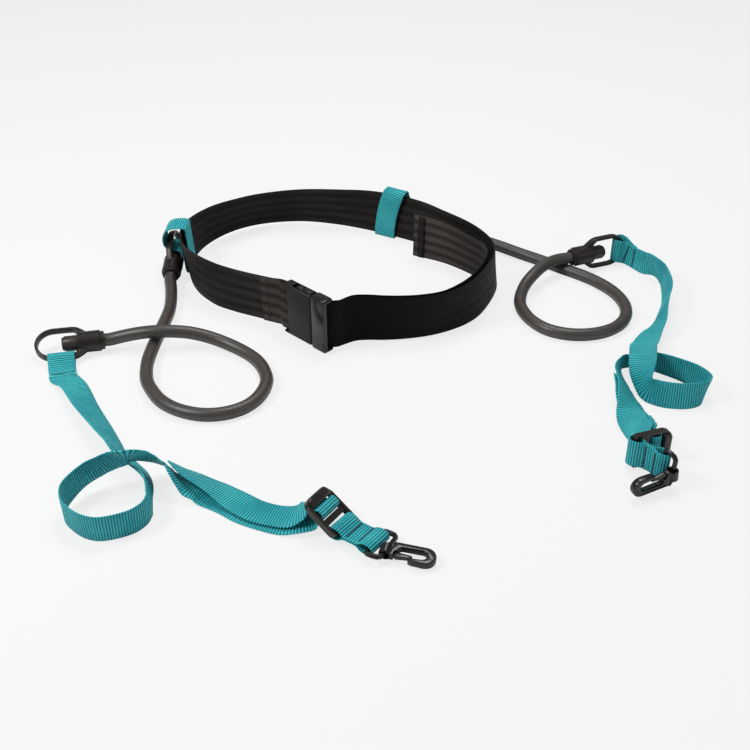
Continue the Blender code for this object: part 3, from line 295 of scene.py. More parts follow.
def moulded(name, colour, roughness, grain, edge=0.0004, coat=0.0):
    """Injection moulded plastic: rounded edges, a fine spark grain, and wear that shows in its gloss."""
    paint, tree, shader = new_material(name)
    place = place_coordinate(tree)
    fine = noise(tree, place, 1800.0, 2.0)
    broad = noise(tree, place, 60.0, 5.0)
    low = tuple(c * 0.75 for c in colour) + (1.0,)
    high = tuple(c * 1.3 for c in colour) + (1.0,)
    tree.links.new(blend_colours(tree, broad, low, high), shader.inputs["Base Color"])
    gloss = calculate(tree, "MULTIPLY_ADD", broad, 0.18, roughness - 0.09)
    tree.links.new(gloss, shader.inputs["Roughness"])
    shader.inputs["Specular IOR Level"].default_value = 0.3
    shader.inputs["Coat Weight"].default_value = coat
    shader.inputs["Coat Roughness"].default_value = 0.18
    rounded = node(tree, "ShaderNodeBevel", samples=6)
    rounded.inputs["Radius"].default_value = edge
    normal = bump(tree, fine, 0.00008, grain, rounded.outputs["Normal"])
    tree.links.new(normal, shader.inputs["Normal"])
    return paint


def rubber(name, colour):
    """Extruded latex tube: satin, with faint streaks and dust."""
    paint, tree, shader = new_material(name)
    place = place_coordinate(tree)
    streaks = noise(tree, place, 160.0, 5.0)
    dust = noise(tree, place, 1300.0, 2.0)
    low = tuple(c * 0.8 for c in colour) + (1.0,)
    high = tuple(c * 1.25 for c in colour) + (1.0,)
    tree.links.new(blend_colours(tree, streaks, low, high), shader.inputs["Base Color"])
    tree.links.new(calculate(tree, "MULTIPLY_ADD", dust, 0.16, 0.36), shader.inputs["Roughness"])
    shader.inputs["Coat Weight"].default_value = 0.15
    shader.inputs["Coat Roughness"].default_value = 0.35
    tree.links.new(bump(tree, dust, 0.0001, 0.3), shader.inputs["Normal"])
    return paint


def thread(name, colour):
    paint, tree, shader = new_material(name)
    twist = noise(tree, place_coordinate(tree), 2500.0, 1.0)
    pale = tuple(min(1.0, c * 2.2) for c in colour[:3]) + (1.0,)
    tree.links.new(blend_colours(tree, twist, colour, pale), shader.inputs["Base Color"])
    tree.links.new(calculate(tree, "MULTIPLY_ADD", twist, 0.2, 0.45), shader.inputs["Roughness"])
    tree.links.new(bump(tree, twist, 0.0001, 0.5), shader.inputs["Normal"])
    return paint


BELT_CLOTH = belt_cloth("belt_cloth", BELT_PAINTED_LIT_FROM)
TAIL_CLOTH = belt_cloth("tail_cloth", TAIL_PAINTED_LIT_FROM)
BELT_HEM = belt_cloth("hem_cloth", TAIL_PAINTED_LIT_FROM, HEM_WEAR)
STRAP_CLOTH = teal_webbing("strap_cloth", RIB_PITCH, STRAP_YARN)
LOOP_CLOTH = teal_webbing("loop_cloth", RIB_PITCH, LOOP_YARN)
RUBBER = rubber("tube_latex", LATEX)
STRAP_THREAD = thread("strap_thread", THREAD_DARK)
BELT_THREAD = thread("belt_thread", THREAD_BELT)
FORK_GLOSS = moulded("fork_moulding", FORK_BLACK, roughness=0.22, grain=0.15, edge=0.0012, coat=0.3)
MOULDINGS = {
    "moulded_plastic": moulded("sleeve_moulding", SLEEVE_BLACK, roughness=0.34, grain=0.35, edge=0.0008),
    "plug_plastic": moulded("plug_moulding", PLUG_GREY, roughness=0.36, grain=0.30),
    "buckle_plastic": moulded("buckle_moulding", BUCKLE_BLACK, roughness=0.44, grain=0.40, edge=0.0007),
    "lock_plastic": moulded("lock_moulding", LOCK_BLACK, roughness=0.24, grain=0.20, edge=0.0006, coat=0.3),
    "hook_plastic": moulded("hook_moulding", HOOK_BLACK, roughness=0.27, grain=0.25, edge=0.0005, coat=0.2),
}


# Places and directions, in the layout's millimetres
def frame_of(origin, x_axis, y_axis):
    """The matrix of a frame from its origin in layout millimetres, its X axis and a rough Y axis."""
    x = Vector(x_axis).normalized()
    z = x.cross(Vector(y_axis)).normalized()
    y = z.cross(x)
    turn = Matrix((x, y, z)).transposed().to_4x4()
    place = Vector((origin[0] + LAYOUT_X, origin[1] + LAYOUT_Y, origin[2])) * MM
    return Matrix.Translation(place) @ turn


def heading(degrees, rise=0.0):
    plan = math.radians(degrees)
    up = math.radians(rise)
    return Vector((math.cos(plan) * math.cos(up), math.sin(plan) * math.cos(up), math.sin(up)))


def ring_frame(face, x_axis, lean):
    """Frame at the sleeve's open face. lean turns the ring about its axis: 0 is flat, 90 stands on edge."""
    x = Vector(x_axis).normalized()
    side = Vector((0, 0, 1)).cross(x).normalized()
    up = x.cross(side)
    turn = math.radians(lean)
    return frame_of(face, x, side * math.cos(turn) + up * math.sin(turn))


def in_layout(frame, x, y=0.0, z=0.0):
    """A point of a frame, in layout millimetres."""
    place = frame @ (Vector((x, y, z)) * MM) / MM
    return Vector((place.x - LAYOUT_X, place.y - LAYOUT_Y, place.z))


# Samples between two rows of a route, before they are spaced out again
SAMPLES = 24


def smooth_path(points, step, cyclic=False, bend=0.28):
    """Rows along a smooth curve through chosen rows, closer where it bends. A row begins with its place."""
    rows = [np.array(p, float) for p in points]
    count = len(rows)
    dense = []
    for i in range(count if cyclic else count - 1):
        b, c = rows[i], rows[(i + 1) % count]
        a = rows[i - 1] if i or cyclic else 2 * b - c
        d = rows[(i + 2) % count] if i + 2 < count or cyclic else 2 * c - b
        for k in range(SAMPLES):
            t = k / SAMPLES
            quadratic = (2 * a - 5 * b + 4 * c - d) * t * t
            cubic = (3 * b - a - 3 * c + d) * t * t * t
            dense.append((2 * b + (c - a) * t + quadratic + cubic) / 2)
    dense.append(rows[0] if cyclic else rows[-1])
    dense = np.array(dense)
    strides = np.diff(dense[:, :3], axis=0)
    lengths = np.maximum(np.linalg.norm(strides, axis=1), 1e-9)
    headings = strides / lengths[:, None]
    bends = np.linalg.norm(np.diff(headings, axis=0, append=headings[-1:]), axis=1)
    twists = np.linalg.norm(np.diff(dense[:, 3:], axis=0), axis=1)
    along = np.concatenate([[0.0], np.cumsum(lengths / step + (bends + twists) / bend)])
    pieces = max(2, round(along[-1]))
    places = np.linspace(0.0, along[-1], pieces + 1)
    if cyclic:
        places = places[:-1]
    return np.stack([np.interp(places, along, column) for column in dense.T], axis=1)


def in_metres(point):
    return ((point[0] + LAYOUT_X) * MM, (point[1] + LAYOUT_Y) * MM, point[2] * MM)


# A webbing's section: places across its width, the round of its edge, and the angle of a sharp edge
FLAT_PLACES = (-0.965, -0.6, -0.2, 0.2, 0.6, 0.965)
EDGE_ROUND = 0.45
SHARP_ANGLE = 50.0


def painted(name, data, paint):
    """The scene's new object for a mesh or curve of one material."""
    data.materials.append(paint)
    obj = bpy.data.objects.new(name, data)
    bpy.context.scene.collection.objects.link(obj)
    return obj


def sections_of(stations, step, cyclic=False, bend=0.12):
    """(middle, along, across, normal, distance) at each section of a webbing, in layout millimetres."""
    rows = []
    for low, high in stations:
        low, high = np.array(low, float), np.array(high, float)
        across = (high - low) / np.linalg.norm(high - low)
        rows.append((*((low + high) / 2), *across))
    path = smooth_path(rows, step, cyclic, bend)
    count = len(path)
    sections = []
    distance = 0.0
    for i, row in enumerate(path):
        middle, across = Vector(row[:3]), Vector(row[3:])
        before = path[(i - 1) % count][:3] if cyclic or i else row[:3]
        after = path[(i + 1) % count][:3] if cyclic or i < count - 1 else row[:3]
        along = Vector(after - before).normalized()
        across = (across - along * across.dot(along)).normalized()
        if sections:
            distance += (middle - sections[-1][0]).length
        sections.append((middle, along, across, along.cross(across), distance))
    return sections


def webbing(name, sections, width, thick, paint, cyclic=False, ribs=0.0):
    """Woven webbing with round edges and, for teal webbing, ribs across it, as one closed mesh."""
    outline = [(a, 1.0) for a in FLAT_PLACES] + [(1.0, EDGE_ROUND), (1.0, -EDGE_ROUND)]
    outline += [(a, -1.0) for a in reversed(FLAT_PLACES)] + [(-1.0, -EDGE_ROUND), (-1.0, EDGE_ROUND)]
    sides = len(outline)
    points = []
    for middle, along, across, normal, distance in sections:
        swell = 1.0 - ribs * (1.0 - abs(math.cos(math.pi * distance / RIB_PITCH)))
        half = thick * swell / 2
        ring = [middle + across * (a * width / 2) + normal * (b * half) for a, b in outline]
        sunk = max(0.0, FLOOR_CLEAR - min(point.z for point in ring))
        points += [point + Vector((0, 0, sunk)) for point in ring]
    count = len(sections)
    faces = []
    marks = []
    for i in range(count if cyclic else count - 1):
        j = (i + 1) % count
        start = sections[i][4]
        end = sections[j][4] if j else start + (sections[0][0] - sections[i][0]).length
        for k in range(sides):
            m = (k + 1) % sides
            faces.append((sides * i + k, sides * i + m, sides * j + m, sides * j + k))
            near, far = outline[k][0] * width / 2, outline[m][0] * width / 2
            marks += [(start, near), (start, far), (end, far), (end, near)]
    if not cyclic:
        for ring, turn in ((0, 1), (count - 1, -1)):
            order = list(range(sides))[::turn]
            faces.append(tuple(sides * ring + k for k in order))
            marks += [(sections[ring][4], outline[k][0] * width / 2) for k in order]
    data = bpy.data.meshes.new(name)
    data.from_pydata([in_metres(point) for point in points], [], faces)
    layer = data.uv_layers.new(name="weave")
    for loop, mark in zip(layer.data, marks):
        loop.uv = mark
    mesh = bmesh.new()
    mesh.from_mesh(data)
    bmesh.ops.recalc_face_normals(mesh, faces=mesh.faces)
    mesh.to_mesh(data)
    mesh.free()
    data.shade_smooth()
    data.set_sharp_from_angle(angle=math.radians(SHARP_ANGLE))
    return painted(name, data, paint)


# Size of a stitch, the space from one to the next, its lift off the cloth, and the width a seam leaves free
STITCH_LENGTH = 2.6
STITCH_PITCH = 2.7
STITCH_THICK = 1.0
STITCH_WIDTH = 1.6
STITCH_LIFT = 0.05
SEAM_INSET = 3.0

# Bend between two sections of ribbed webbing: large, since its ribs already set them close
RIBBED_BEND = 1000.0


def ribbed(name, stations, paint, cyclic=False):
    """Ribbed teal webbing. It returns the object and its sections."""
    sections = sections_of(stations, RIB_PITCH / 4, cyclic, RIBBED_BEND)
    return webbing(name, sections, STRAP_WIDTH, STRAP_THICK, paint, cyclic, RIB_DEPTH), sections


def sew(name, sections, near, outward, thick, width, paint):
    """A row of stitches across a webbing, at the section nearest a place, on the side that faces outward."""
    middle, along, across, normal, distance = min(sections, key=lambda s: (s[0] - Vector(near)).length)
    side = 1.0 if normal.dot(Vector(outward)) > 0 else -1.0
    face = middle + normal * side * (thick / 2 + STITCH_LIFT)
    count = int((width - SEAM_INSET) / STITCH_PITCH)
    turn = Matrix((across, along, normal)).transposed().to_4x4()
    size = Matrix.Diagonal((STITCH_LENGTH / 2, STITCH_WIDTH / 2, STITCH_THICK / 2, 1.0))
    mesh = bmesh.new()
    for k in range(count):
        place = face + across * (k - (count - 1) / 2) * STITCH_PITCH
        matrix = Matrix.Translation(place) @ turn @ size
        bmesh.ops.create_uvsphere(mesh, u_segments=8, v_segments=6, radius=1.0, matrix=matrix)
    for vertex in mesh.verts:
        vertex.co = in_metres(vertex.co)
    data = bpy.data.meshes.new(name)
    mesh.to_mesh(data)
    mesh.free()
    data.shade_smooth()
    return painted(name, data, paint)


# Sleeve frames of the four ring ends
OUTER_LEFT = ring_frame((-258.0, 21.0, 11.9), heading(191.5), -21.5)
OUTER_RIGHT = ring_frame((266.5, 193.5, 18.4), heading(22.0), 90.0)
INNER_LEFT = ring_frame((-188.8, 180.5, 16.9), (0.0, 0.976, 0.215), 78.0)
INNER_RIGHT = ring_frame((72.4, 278.5, 15.6), (-0.905, 0.367, 0.215), 120.0)

# Rubber tubes: where they end in the sleeve, how far they stay straight past it, and how finely they bend
TUBE_END = -SLEEVE_LENGTH + TUBE_IN_SLEEVE
TUBE_STRAIGHT = 6.0
TUBE_STEP = 9.0
TUBE_BEND = 0.35
LEFT_ROUTE = [
    (-184.6, 129.0, 7.4), (-181.2, 100.0, 6.4), (-181.5, 77.0, 6.4), (-184.5, 44.0, 6.4),
    (-186.5, 15.0, 6.4), (-186.5, -10.0, 6.4), (-182.5, -35.0, 6.4), (-174.0, -54.0, 6.4),
    (-163.0, -70.0, 6.4), (-148.0, -82.0, 6.4), (-131.0, -89.0, 6.4), (-115.0, -90.5, 6.4),
    (-99.0, -86.5, 6.4), (-85.0, -77.0, 6.4), (-75.0, -61.0, 6.4), (-70.5, -39.0, 6.4),
    (-75.0, -18.0, 6.4), (-84.5, 0.0, 6.4), (-99.0, 14.5, 7.0), (-116.0, 25.0, 9.0),
    (-133.0, 30.5, 12.5), (-150.0, 31.5, 16.5), (-167.0, 29.5, 19.4), (-184.0, 28.0, 20.2),
    (-200.0, 28.0, 18.2), (-215.0, 28.5, 14.6),
]
RIGHT_ROUTE = [
    (130.0, 252.5, 8.4), (150.0, 244.5, 8.2), (168.0, 234.0, 7.6), (195.0, 214.0, 6.4),
    (213.0, 200.0, 6.4), (229.0, 185.9, 6.4), (251.0, 167.8, 6.4), (266.4, 152.4, 6.4),
    (280.0, 132.0, 6.4), (287.0, 111.0, 6.4), (287.5, 90.0, 6.4), (280.5, 70.0, 6.4),
    (267.0, 55.0, 6.4), (250.0, 46.5, 6.4), (232.0, 44.0, 6.4), (215.0, 47.0, 6.4),
    (199.0, 56.5, 6.4), (186.5, 75.0, 6.4), (180.5, 98.0, 6.4), (182.0, 118.0, 7.4),
    (189.0, 137.0, 11.0), (200.0, 152.0, 16.0), (213.0, 167.0, 18.8), (226.5, 177.3, 18.9),
]


def tube_route(inner, outer, middle):
    """The whole tube: straight in each sleeve, free in between."""
    straight = (TUBE_END, -SLEEVE_LENGTH, -SLEEVE_LENGTH - TUBE_STRAIGHT)
    start = [in_layout(inner, x) for x in straight]
    end = [in_layout(outer, x) for x in reversed(straight)]
    return start + middle + end


def tube(side, inner, outer, middle):
    """The rubber tube of one side, as a curve along its route."""
    curve = bpy.data.curves.new(f"latex_tube_{side}", "CURVE")
    curve.dimensions = "3D"
    curve.bevel_depth = TUBE_DIAMETER / 2 * MM
    curve.bevel_resolution = 4
    curve.use_fill_caps = True
    curve.resolution_u = 1
    path = smooth_path(tube_route(inner, outer, middle), TUBE_STEP, bend=TUBE_BEND)
    route = [in_metres(place) for place in path]
    spline = curve.splines.new("POLY")
    spline.points.add(len(route) - 1)
    for point, place in zip(spline.points, route):
        point.co = (*place, 1.0)
    spline.use_smooth = True
    obj = painted(f"latex_tube_{side}", curve, RUBBER)
    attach(obj, f"tether_{side}")
    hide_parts(f"tube_{side}")


tube("left", INNER_LEFT, OUTER_LEFT, LEFT_ROUTE)
tube("right", INNER_RIGHT, OUTER_RIGHT, RIGHT_ROUTE)


# Belt, stood on its edge and closed by the buckle
BUCKLE_LIFT = 0.6
BUCKLE = frame_of((-36.2, 42.6, BUCKLE_HEIGHT / 2 + BUCKLE_LIFT), heading(-44.0), (0, 0, 1))
HOUSING_FRONT = 11.0
HOUSING_REAR = HOUSING_FRONT - HOUSING_LENGTH
FORK_FRONT = HOUSING_FRONT + GAP
FORK_REAR = FORK_FRONT + FORK_END_LENGTH
END_BAR_X = HOUSING_REAR + 1.6
BAR_X = FORK_FRONT + 10.5
BAR_HALF = 2.0


def buckle_point(x, z):
    place = in_layout(BUCKLE, x, 0.0, z)
    return place.x, place.y


def belt_station(x, y, lean_x=0.0, lean_y=0.0, lift=BELT_LIFT):
    return (x, y, lift), (x + lean_x, y + lean_y, lift + BELT_WIDTH)


FRONT_ROUTE = [
    belt_station(*buckle_point(BAR_X - BAR_HALF - 1.3, -1.9), lift=4.6),
    belt_station(*buckle_point(BAR_X - BAR_HALF - 0.9, 0.3), lift=4.6),
    belt_station(*buckle_point(BAR_X - 0.6, 1.2), lift=4.6),
    belt_station(*buckle_point(BAR_X + 1.6, 1.2), lift=4.6),
    belt_station(*buckle_point(BAR_X + 3.9, -0.2), lift=4.6),
    belt_station(*buckle_point(BAR_X + 6.7, -3.0), lift=4.6),
    belt_station(*buckle_point(FORK_REAR + 0.9, -6.2), lift=4.3),
    belt_station(*buckle_point(FORK_REAR + 2.9, -10.5), lift=4.1),
    belt_station(10.0, 37.4, lift=3.4),
    belt_station(24.0, 40.8, 0.3, -1.5, lift=2.6),
    belt_station(38.9, 41.8, 0.6, -3.0),
    belt_station(58.0, 43.6, 1.2, -5.0),
    belt_station(78.0, 47.8, 2.2, -6.0),
]
MAIN_ROUTE = [
    belt_station(78.5, 48.0, 2.2, -6.0),
    belt_station(98.0, 55.6, 3.2, -6.0),
    belt_station(121.0, 71.0, 1.5, -2.5),
    belt_station(138.5, 92.0, -1.0, 0.3),
    belt_station(154.0, 126.5, -1.8, 0.1),
    belt_station(160.5, 155.0, -6.5, -0.3),
    belt_station(156.5, 184.0, -10.0, -4.5),
    belt_station(138.0, 210.5, -6.5, -6.5),
    belt_station(108.0, 233.0, -1.5, -2.2),
    belt_station(73.7, 254.5, 3.0, 5.0),
    belt_station(31.2, 279.5, 0.8, 1.6),
    belt_station(-10.0, 296.5, -2.9, -9.0),
    belt_station(-57.0, 305.0, 0.0, -16.0),
    belt_station(-103.8, 297.0, 6.0, -17.5),
    belt_station(-138.5, 276.0, 10.5, -12.5),
    belt_station(-163.0, 243.0, 7.0, -3.6),
    belt_station(-173.5, 203.0, -2.6, 0.0),
    belt_station(-169.5, 169.0, -7.5, -2.5),
    belt_station(-157.0, 137.0, -4.0, -1.5),
    belt_station(-136.0, 111.1),
    belt_station(-115.0, 97.5),
    belt_station(-94.0, 87.2),
    belt_station(*buckle_point(HOUSING_REAR - 20.0, 0.6), lift=2.8),
    belt_station(*buckle_point(HOUSING_REAR - 11.0, -2.2), lift=3.8),
    belt_station(*buckle_point(HOUSING_REAR - 4.0, -3.0), lift=4.6),
    belt_station(*buckle_point(END_BAR_X, -3.0), lift=4.6),
    belt_station(*buckle_point(END_BAR_X + 2.7, -2.3), lift=4.6),
    belt_station(*buckle_point(END_BAR_X + 3.5, 0.0), lift=4.6),
    belt_station(*buckle_point(END_BAR_X + 2.7, 2.3), lift=4.6),
    belt_station(*buckle_point(END_BAR_X, 3.0), lift=4.6),
    belt_station(*buckle_point(HOUSING_REAR - 4.0, 2.8), lift=4.6),
    belt_station(*buckle_point(HOUSING_REAR - 11.0, 1.0), lift=3.8),
    belt_station(*buckle_point(HOUSING_REAR - 20.0, 2.6), lift=2.8),
    belt_station(*buckle_point(HOUSING_REAR - 31.5, 6.0), lift=2.2),
]
TAIL_ROUTE = [
    belt_station(*buckle_point(BAR_X - BAR_HALF - 0.6, -4.6), lift=4.6),
    belt_station(*buckle_point(BAR_X, -4.7), lift=4.6),
    belt_station(*buckle_point(BAR_X + 3.6, -5.4), lift=4.6),
    belt_station(*buckle_point(BAR_X + 6.6, -7.6), lift=4.6),
    belt_station(*buckle_point(BAR_X + 8.8, -11.0), lift=4.3),
    belt_station(*buckle_point(BAR_X + 10.2, -14.5), lift=4.1),
    belt_station(8.6, 40.6, lift=3.4),
    belt_station(23.4, 44.6, 0.3, -1.5, lift=2.6),
    belt_station(38.6, 45.8, 0.6, -3.0),
    belt_station(57.4, 47.8, 1.2, -5.0),
    belt_station(76.8, 51.8, 2.2, -6.0),
    belt_station(95.6, 59.6, 3.2, -6.0),
    belt_station(117.5, 75.4, 1.5, -2.5),
    belt_station(134.0, 95.0, -1.0, 0.3),
    belt_station(148.0, 127.5, -3.0, 0.4),
    belt_station(149.5, 152.0, -5.5, -1.0),
    belt_station(137.8, 172.5, -6.0, -4.0),
    belt_station(107.8, 201.5, -1.5, -2.0),
    belt_station(72.8, 220.5, 1.0, 1.5),
]

# Step between the belt's sections, and the height of its middle
BELT_STEP = 4.0
BELT_MIDDLE = 27.0

# The front stretch ends at the section nearest to this length, among so many from the fork's bar
FRONT_LENGTH = 96.0
FRONT_SECTIONS = 40

# Folded hem near the tail's end: its place, width, lift, what it lacks of the belt's width, and its side
HEM_FROM_END = 5.0
HEM_WIDTH = 9.0
HEM_LIFT = 0.1
HEM_SHORT = 0.6
TAIL_INWARD = (-0.5, -1.0, 0.0)

outer_sections = sections_of(FRONT_ROUTE + MAIN_ROUTE[1:], BELT_STEP)
split = min(range(FRONT_SECTIONS), key=lambda k: abs(outer_sections[k][4] - FRONT_LENGTH))
front = webbing("belt_cloth_front", outer_sections[:split + 1], BELT_WIDTH, BELT_THICK, BELT_CLOTH)
belt = webbing("belt_cloth_main", outer_sections[split:], BELT_WIDTH, BELT_THICK, BELT_CLOTH)
tail_sections = sections_of(TAIL_ROUTE, BELT_STEP)
tail = webbing("belt_cloth_tail", tail_sections, BELT_WIDTH, BELT_THICK, TAIL_CLOTH)
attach(belt, "belt")
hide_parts("belt_webbing")
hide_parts("belt_webbing_front")
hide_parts("belt_tail")
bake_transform(front)
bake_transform(tail)

# Seams of the belt: where its end is sewn back at the buckle, and along the hem near the tail's end
BELT_OUT = BUCKLE.to_3x3().col[2]
BELT_SEAMS = (24.5, 29.5)

# Sections at the belt's end, among which the seams at the buckle are placed
END_SECTIONS = 60
end_sections = outer_sections[-END_SECTIONS:]
for k, back in enumerate(BELT_SEAMS):
    near = (*buckle_point(HOUSING_REAR - back, 4.5), BELT_MIDDLE)
    seam = sew(f"belt_seam_{k}", end_sections, near, BELT_OUT, BELT_THICK, BELT_WIDTH, BELT_THREAD)
    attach(seam, "belt")
hem_sections = []
for middle, along, across, normal, distance in tail_sections:
    from_end = tail_sections[-1][4] - distance
    if HEM_FROM_END < from_end < HEM_FROM_END + HEM_WIDTH:
        inward = 1.0 if normal.dot(Vector(TAIL_INWARD)) > 0 else -1.0
        raised = middle + normal * inward * (BELT_THICK + HEM_LIFT)
        hem_sections.append((raised, along, across, normal, distance))
hem = webbing("tail_hem", hem_sections, BELT_WIDTH - HEM_SHORT, BELT_THICK, BELT_HEM)
hem_middle = hem_sections[len(hem_sections) // 2][0]
seam = sew("tail_seam", hem_sections, hem_middle, TAIL_INWARD, BELT_THICK, BELT_WIDTH, BELT_THREAD)
for piece in (hem, seam):
    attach(piece, "belt")


# Webbing loops that slide on the belt and hold the inner rings
def belt_loop(name, x, y, outward, lean, skew, profile):
    """A closed loop round the belt. profile gives the distance outward and height of the webbing's middle."""
    out = Vector((*outward, 0.0)).normalized()
    along = Vector((0, 0, 1)).cross(out)
    stations = []
    for r, z in profile:
        shift = lean * min(max(z - BELT_LIFT, 0.0), BELT_WIDTH) / BELT_WIDTH
        slip = skew * (z / BELT_WIDTH) ** 2
        middle = Vector((x, y, 0.0)) + out * (r + shift) + along * slip + Vector((0, 0, z))
        stations.append((middle - along * STRAP_WIDTH / 2, middle + along * STRAP_WIDTH / 2))
    return ribbed(name, stations, LOOP_CLOTH, cyclic=True)


INSIDE_LEG = [(-2.3, 1.05), (-3.2, 2.8), (-3.4, 14.0), (-3.4, 30.0), (-3.3, 44.0)]
OUTSIDE_LEG = [(2.8, 14.0), (2.7, 5.0), (2.0, 1.4), (0.0, 0.85)]
LEFT_ARCH = [
    (-3.7, 50.2), (-1.9, 53.0), (2.0, 53.7), (7.5, 53.4), (13.0, 52.4), (17.8, 49.6), (21.0, 45.2),
    (22.6, 40.2), (22.8, 35.5), (21.4, 31.2), (17.8, 28.9), (12.5, 28.0), (8.0, 26.8), (4.8, 24.0),
    (3.2, 19.5),
]
RIGHT_ARCH = [
    (-2.8, 51.0), (-1.2, 54.8), (3.0, 57.4), (7.5, 56.4), (12.0, 52.0), (17.0, 46.8), (22.0, 42.4),
    (27.4, 38.6), (30.4, 34.2), (30.0, 29.8), (26.0, 27.2), (18.0, 26.6), (10.0, 26.0), (5.2, 24.0),
    (3.2, 20.0),
]

# Heights of the seams on a loop's outside leg, and how far outside the belt's middle they are looked for
LOOP_SEAMS = (13.5, 18.5)
LEG_OUT = 4.0

# Of each loop: its place, its direction away from the belt, its lean, its skew and its profile
LOOPS = {
    "left": (-173.3, 195.0, (-1.0, 0.04), 3.2, 0.0, INSIDE_LEG + LEFT_ARCH + OUTSIDE_LEG),
    "right": (42.6, 273.0, (0.5, 0.866), 2.4, -8.0, INSIDE_LEG + RIGHT_ARCH + OUTSIDE_LEG),
}
for side, (x, y, outward, lean, skew, profile) in LOOPS.items():
    loop, loop_sections = belt_loop(f"loop_cloth_{side}", x, y, outward, lean, skew, profile)
    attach(loop, f"loop_{side}")
    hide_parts(f"belt_loop_{side}")
    away = Vector((*outward, 0.0)).normalized()
    for k, height in enumerate(LOOP_SEAMS):
        near = Vector((x, y, height)) + away * LEG_OUT
        seam = sew(f"loop_seam_{side}_{k}", loop_sections, near, away, STRAP_THICK, STRAP_WIDTH, STRAP_THREAD)
        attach(seam, f"loop_{side}")


# Sewn loop of the left strap: its place along the ring's arm, how it curves off, and its heading and turn
WRAP_AT = 16.1
WRAP_CURVE = 0.0027
WRAP_HEADING = 11.5
WRAP_TURN = 16.0
WRAP_LENGTH = 27.0


def wrap_left(p, rise):
    """One station of the sewn loop: p outward from the ring's arm, rise above its middle."""
    arm = in_layout(OUTER_LEFT, WRAP_AT, RING_WIDTH / 2 - RING_THICK / 2)
    away = Vector((0.199, -0.980, 0.0))
    along = Vector((0.980, 0.199, 0.0))
    middle = arm + away * p + along * WRAP_CURVE * max(p, 0.0) ** 2 + Vector((0, 0, rise))
    angle = math.radians(WRAP_HEADING + WRAP_TURN * max(p, 0.0) / WRAP_LENGTH)
    across = Vector((math.cos(angle), math.sin(angle), 0.0)) * STRAP_WIDTH / 2
    return middle + across, middle - across


# Places of the sewn loop: distance outward from the ring's arm, and rise
WRAP_PLACES = [
    (24.0, -4.65), (16.0, -4.65), (9.0, -4.65), (3.5, -4.65), (-0.8, -4.5), (-3.9, -3.0), (-4.6, 0.0),
    (-3.7, 3.3), (-0.8, 5.0), (2.4, 4.6), (5.4, 2.2), (9.0, -0.4), (13.0, -2.1), (18.0, -2.75),
    (24.0, -2.8), (31.0, -3.0),
]
WRAP_LEFT = [wrap_left(p, rise) for p, rise in WRAP_PLACES]
RUN_LEFT = [
    ((-238.1, -36.4, 1.6), (-259.7, -47.9, 7.4)),
    ((-220.9, -70.0, 1.4), (-241.0, -80.7, 11.9)),
    ((-203.0, -103.0, 1.2), (-215.5, -117.5, 15.0)),
    ((-194.0, -121.5, 1.0), (-198.6, -141.5, 15.8)),
    ((-186.3, -136.5, 0.9), (-188.3, -156.3, 16.2)),
    ((-179.0, -145.0, 0.8), (-180.3, -165.2, 15.9)),
    ((-172.0, -153.0, 0.7), (-172.8, -173.8, 15.4)),
    ((-166.3, -160.0, 0.6), (-166.4, -181.3, 14.6)),
    ((-161.6, -168.4, 0.5), (-160.6, -189.5, 14.4)),
    ((-157.4, -179.5, 0.4), (-154.8, -199.5, 15.8)),
    ((-153.6, -192.3, 0.3), (-151.4, -209.0, 19.3)),
    ((-149.8, -206.8, 0.3), (-149.4, -218.0, 23.1)),
    ((-147.8, -217.8, 0.3), (-149.0, -225.5, 24.4)),
    ((-150.2, -229.5, 0.3), (-152.0, -233.6, 25.2)),
    ((-160.0, -240.4, 0.3), (-161.5, -242.6, 25.6)),
    ((-179.1, -247.6, 0.3), (-179.8, -249.0, 25.6)),
    ((-193.0, -245.6, 0.3), (-193.8, -246.4, 25.6)),
    ((-205.2, -237.0, 0.3), (-206.0, -237.9, 25.6)),
    ((-213.9, -227.1, 1.5), (-214.7, -227.6, 26.8)),
    ((-216.1, -214.8, 3.3), (-217.1, -214.3, 28.6)),
    ((-211.9, -202.4, 5.9), (-212.0, -203.6, 31.2)),
    ((-204.3, -190.3, 8.7), (-202.1, -192.8, 34.0)),
    ((-194.1, -183.1, 12.8), (-190.4, -188.7, 37.4)),
    ((-184.0, -179.8, 17.2), (-180.4, -188.2, 41.0)),
    ((-172.8, -178.6, 21.8), (-170.4, -190.6, 44.3)),
    ((-166.5, -175.4, 20.9), (-163.2, -188.6, 42.4)),
    ((-161.3, -171.2, 17.9), (-157.5, -185.8, 38.3)),
    ((-156.2, -168.1, 14.8), (-151.8, -183.8, 34.0)),
    ((-150.8, -166.8, 12.4), (-147.2, -183.4, 31.2)),
    ((-145.2, -167.3, 10.4), (-143.0, -184.5, 28.8)),
    ((-139.6, -168.3, 8.2), (-139.3, -186.0, 26.0)),
    ((-134.5, -172.2, 6.4), (-137.3, -189.4, 22.8)),
    ((-128.0, -176.0, 4.2), (-134.4, -192.8, 18.2)),
    ((-119.8, -180.0, 2.0), (-131.2, -196.0, 13.4)),
    ((-112.0, -183.0, 1.0), (-127.0, -199.4, 8.2)),
    ((-103.5, -185.0, 0.9), (-120.4, -201.8, 5.0)),
    ((-97.0, -187.2, 0.9), (-114.0, -205.6, 2.0)),
    ((-90.0, -190.2, 0.9), (-105.6, -209.8, 1.0)),
    ((-81.1, -195.3, 0.9), (-93.8, -217.3, 0.9)),
    ((-67.8, -205.2, 0.9), (-79.7, -227.6, 0.9)),
    ((-51.6, -212.9, 0.9), (-61.9, -236.1, 0.9)),
    ((-37.5, -218.0, 2.4), (-45.0, -242.2, 1.4)),
    ((-27.5, -218.5, 6.0), (-31.0, -244.0, 4.0)),
]

LOCK_LEFT = frame_of((-4.6, -232.6, 15.1), heading(-33.5, -33.5), heading(62.0, -7.5))
LOCK_RIGHT = frame_of((258.8, -151.6, 16.9), heading(199.0), (0, 0, -1))


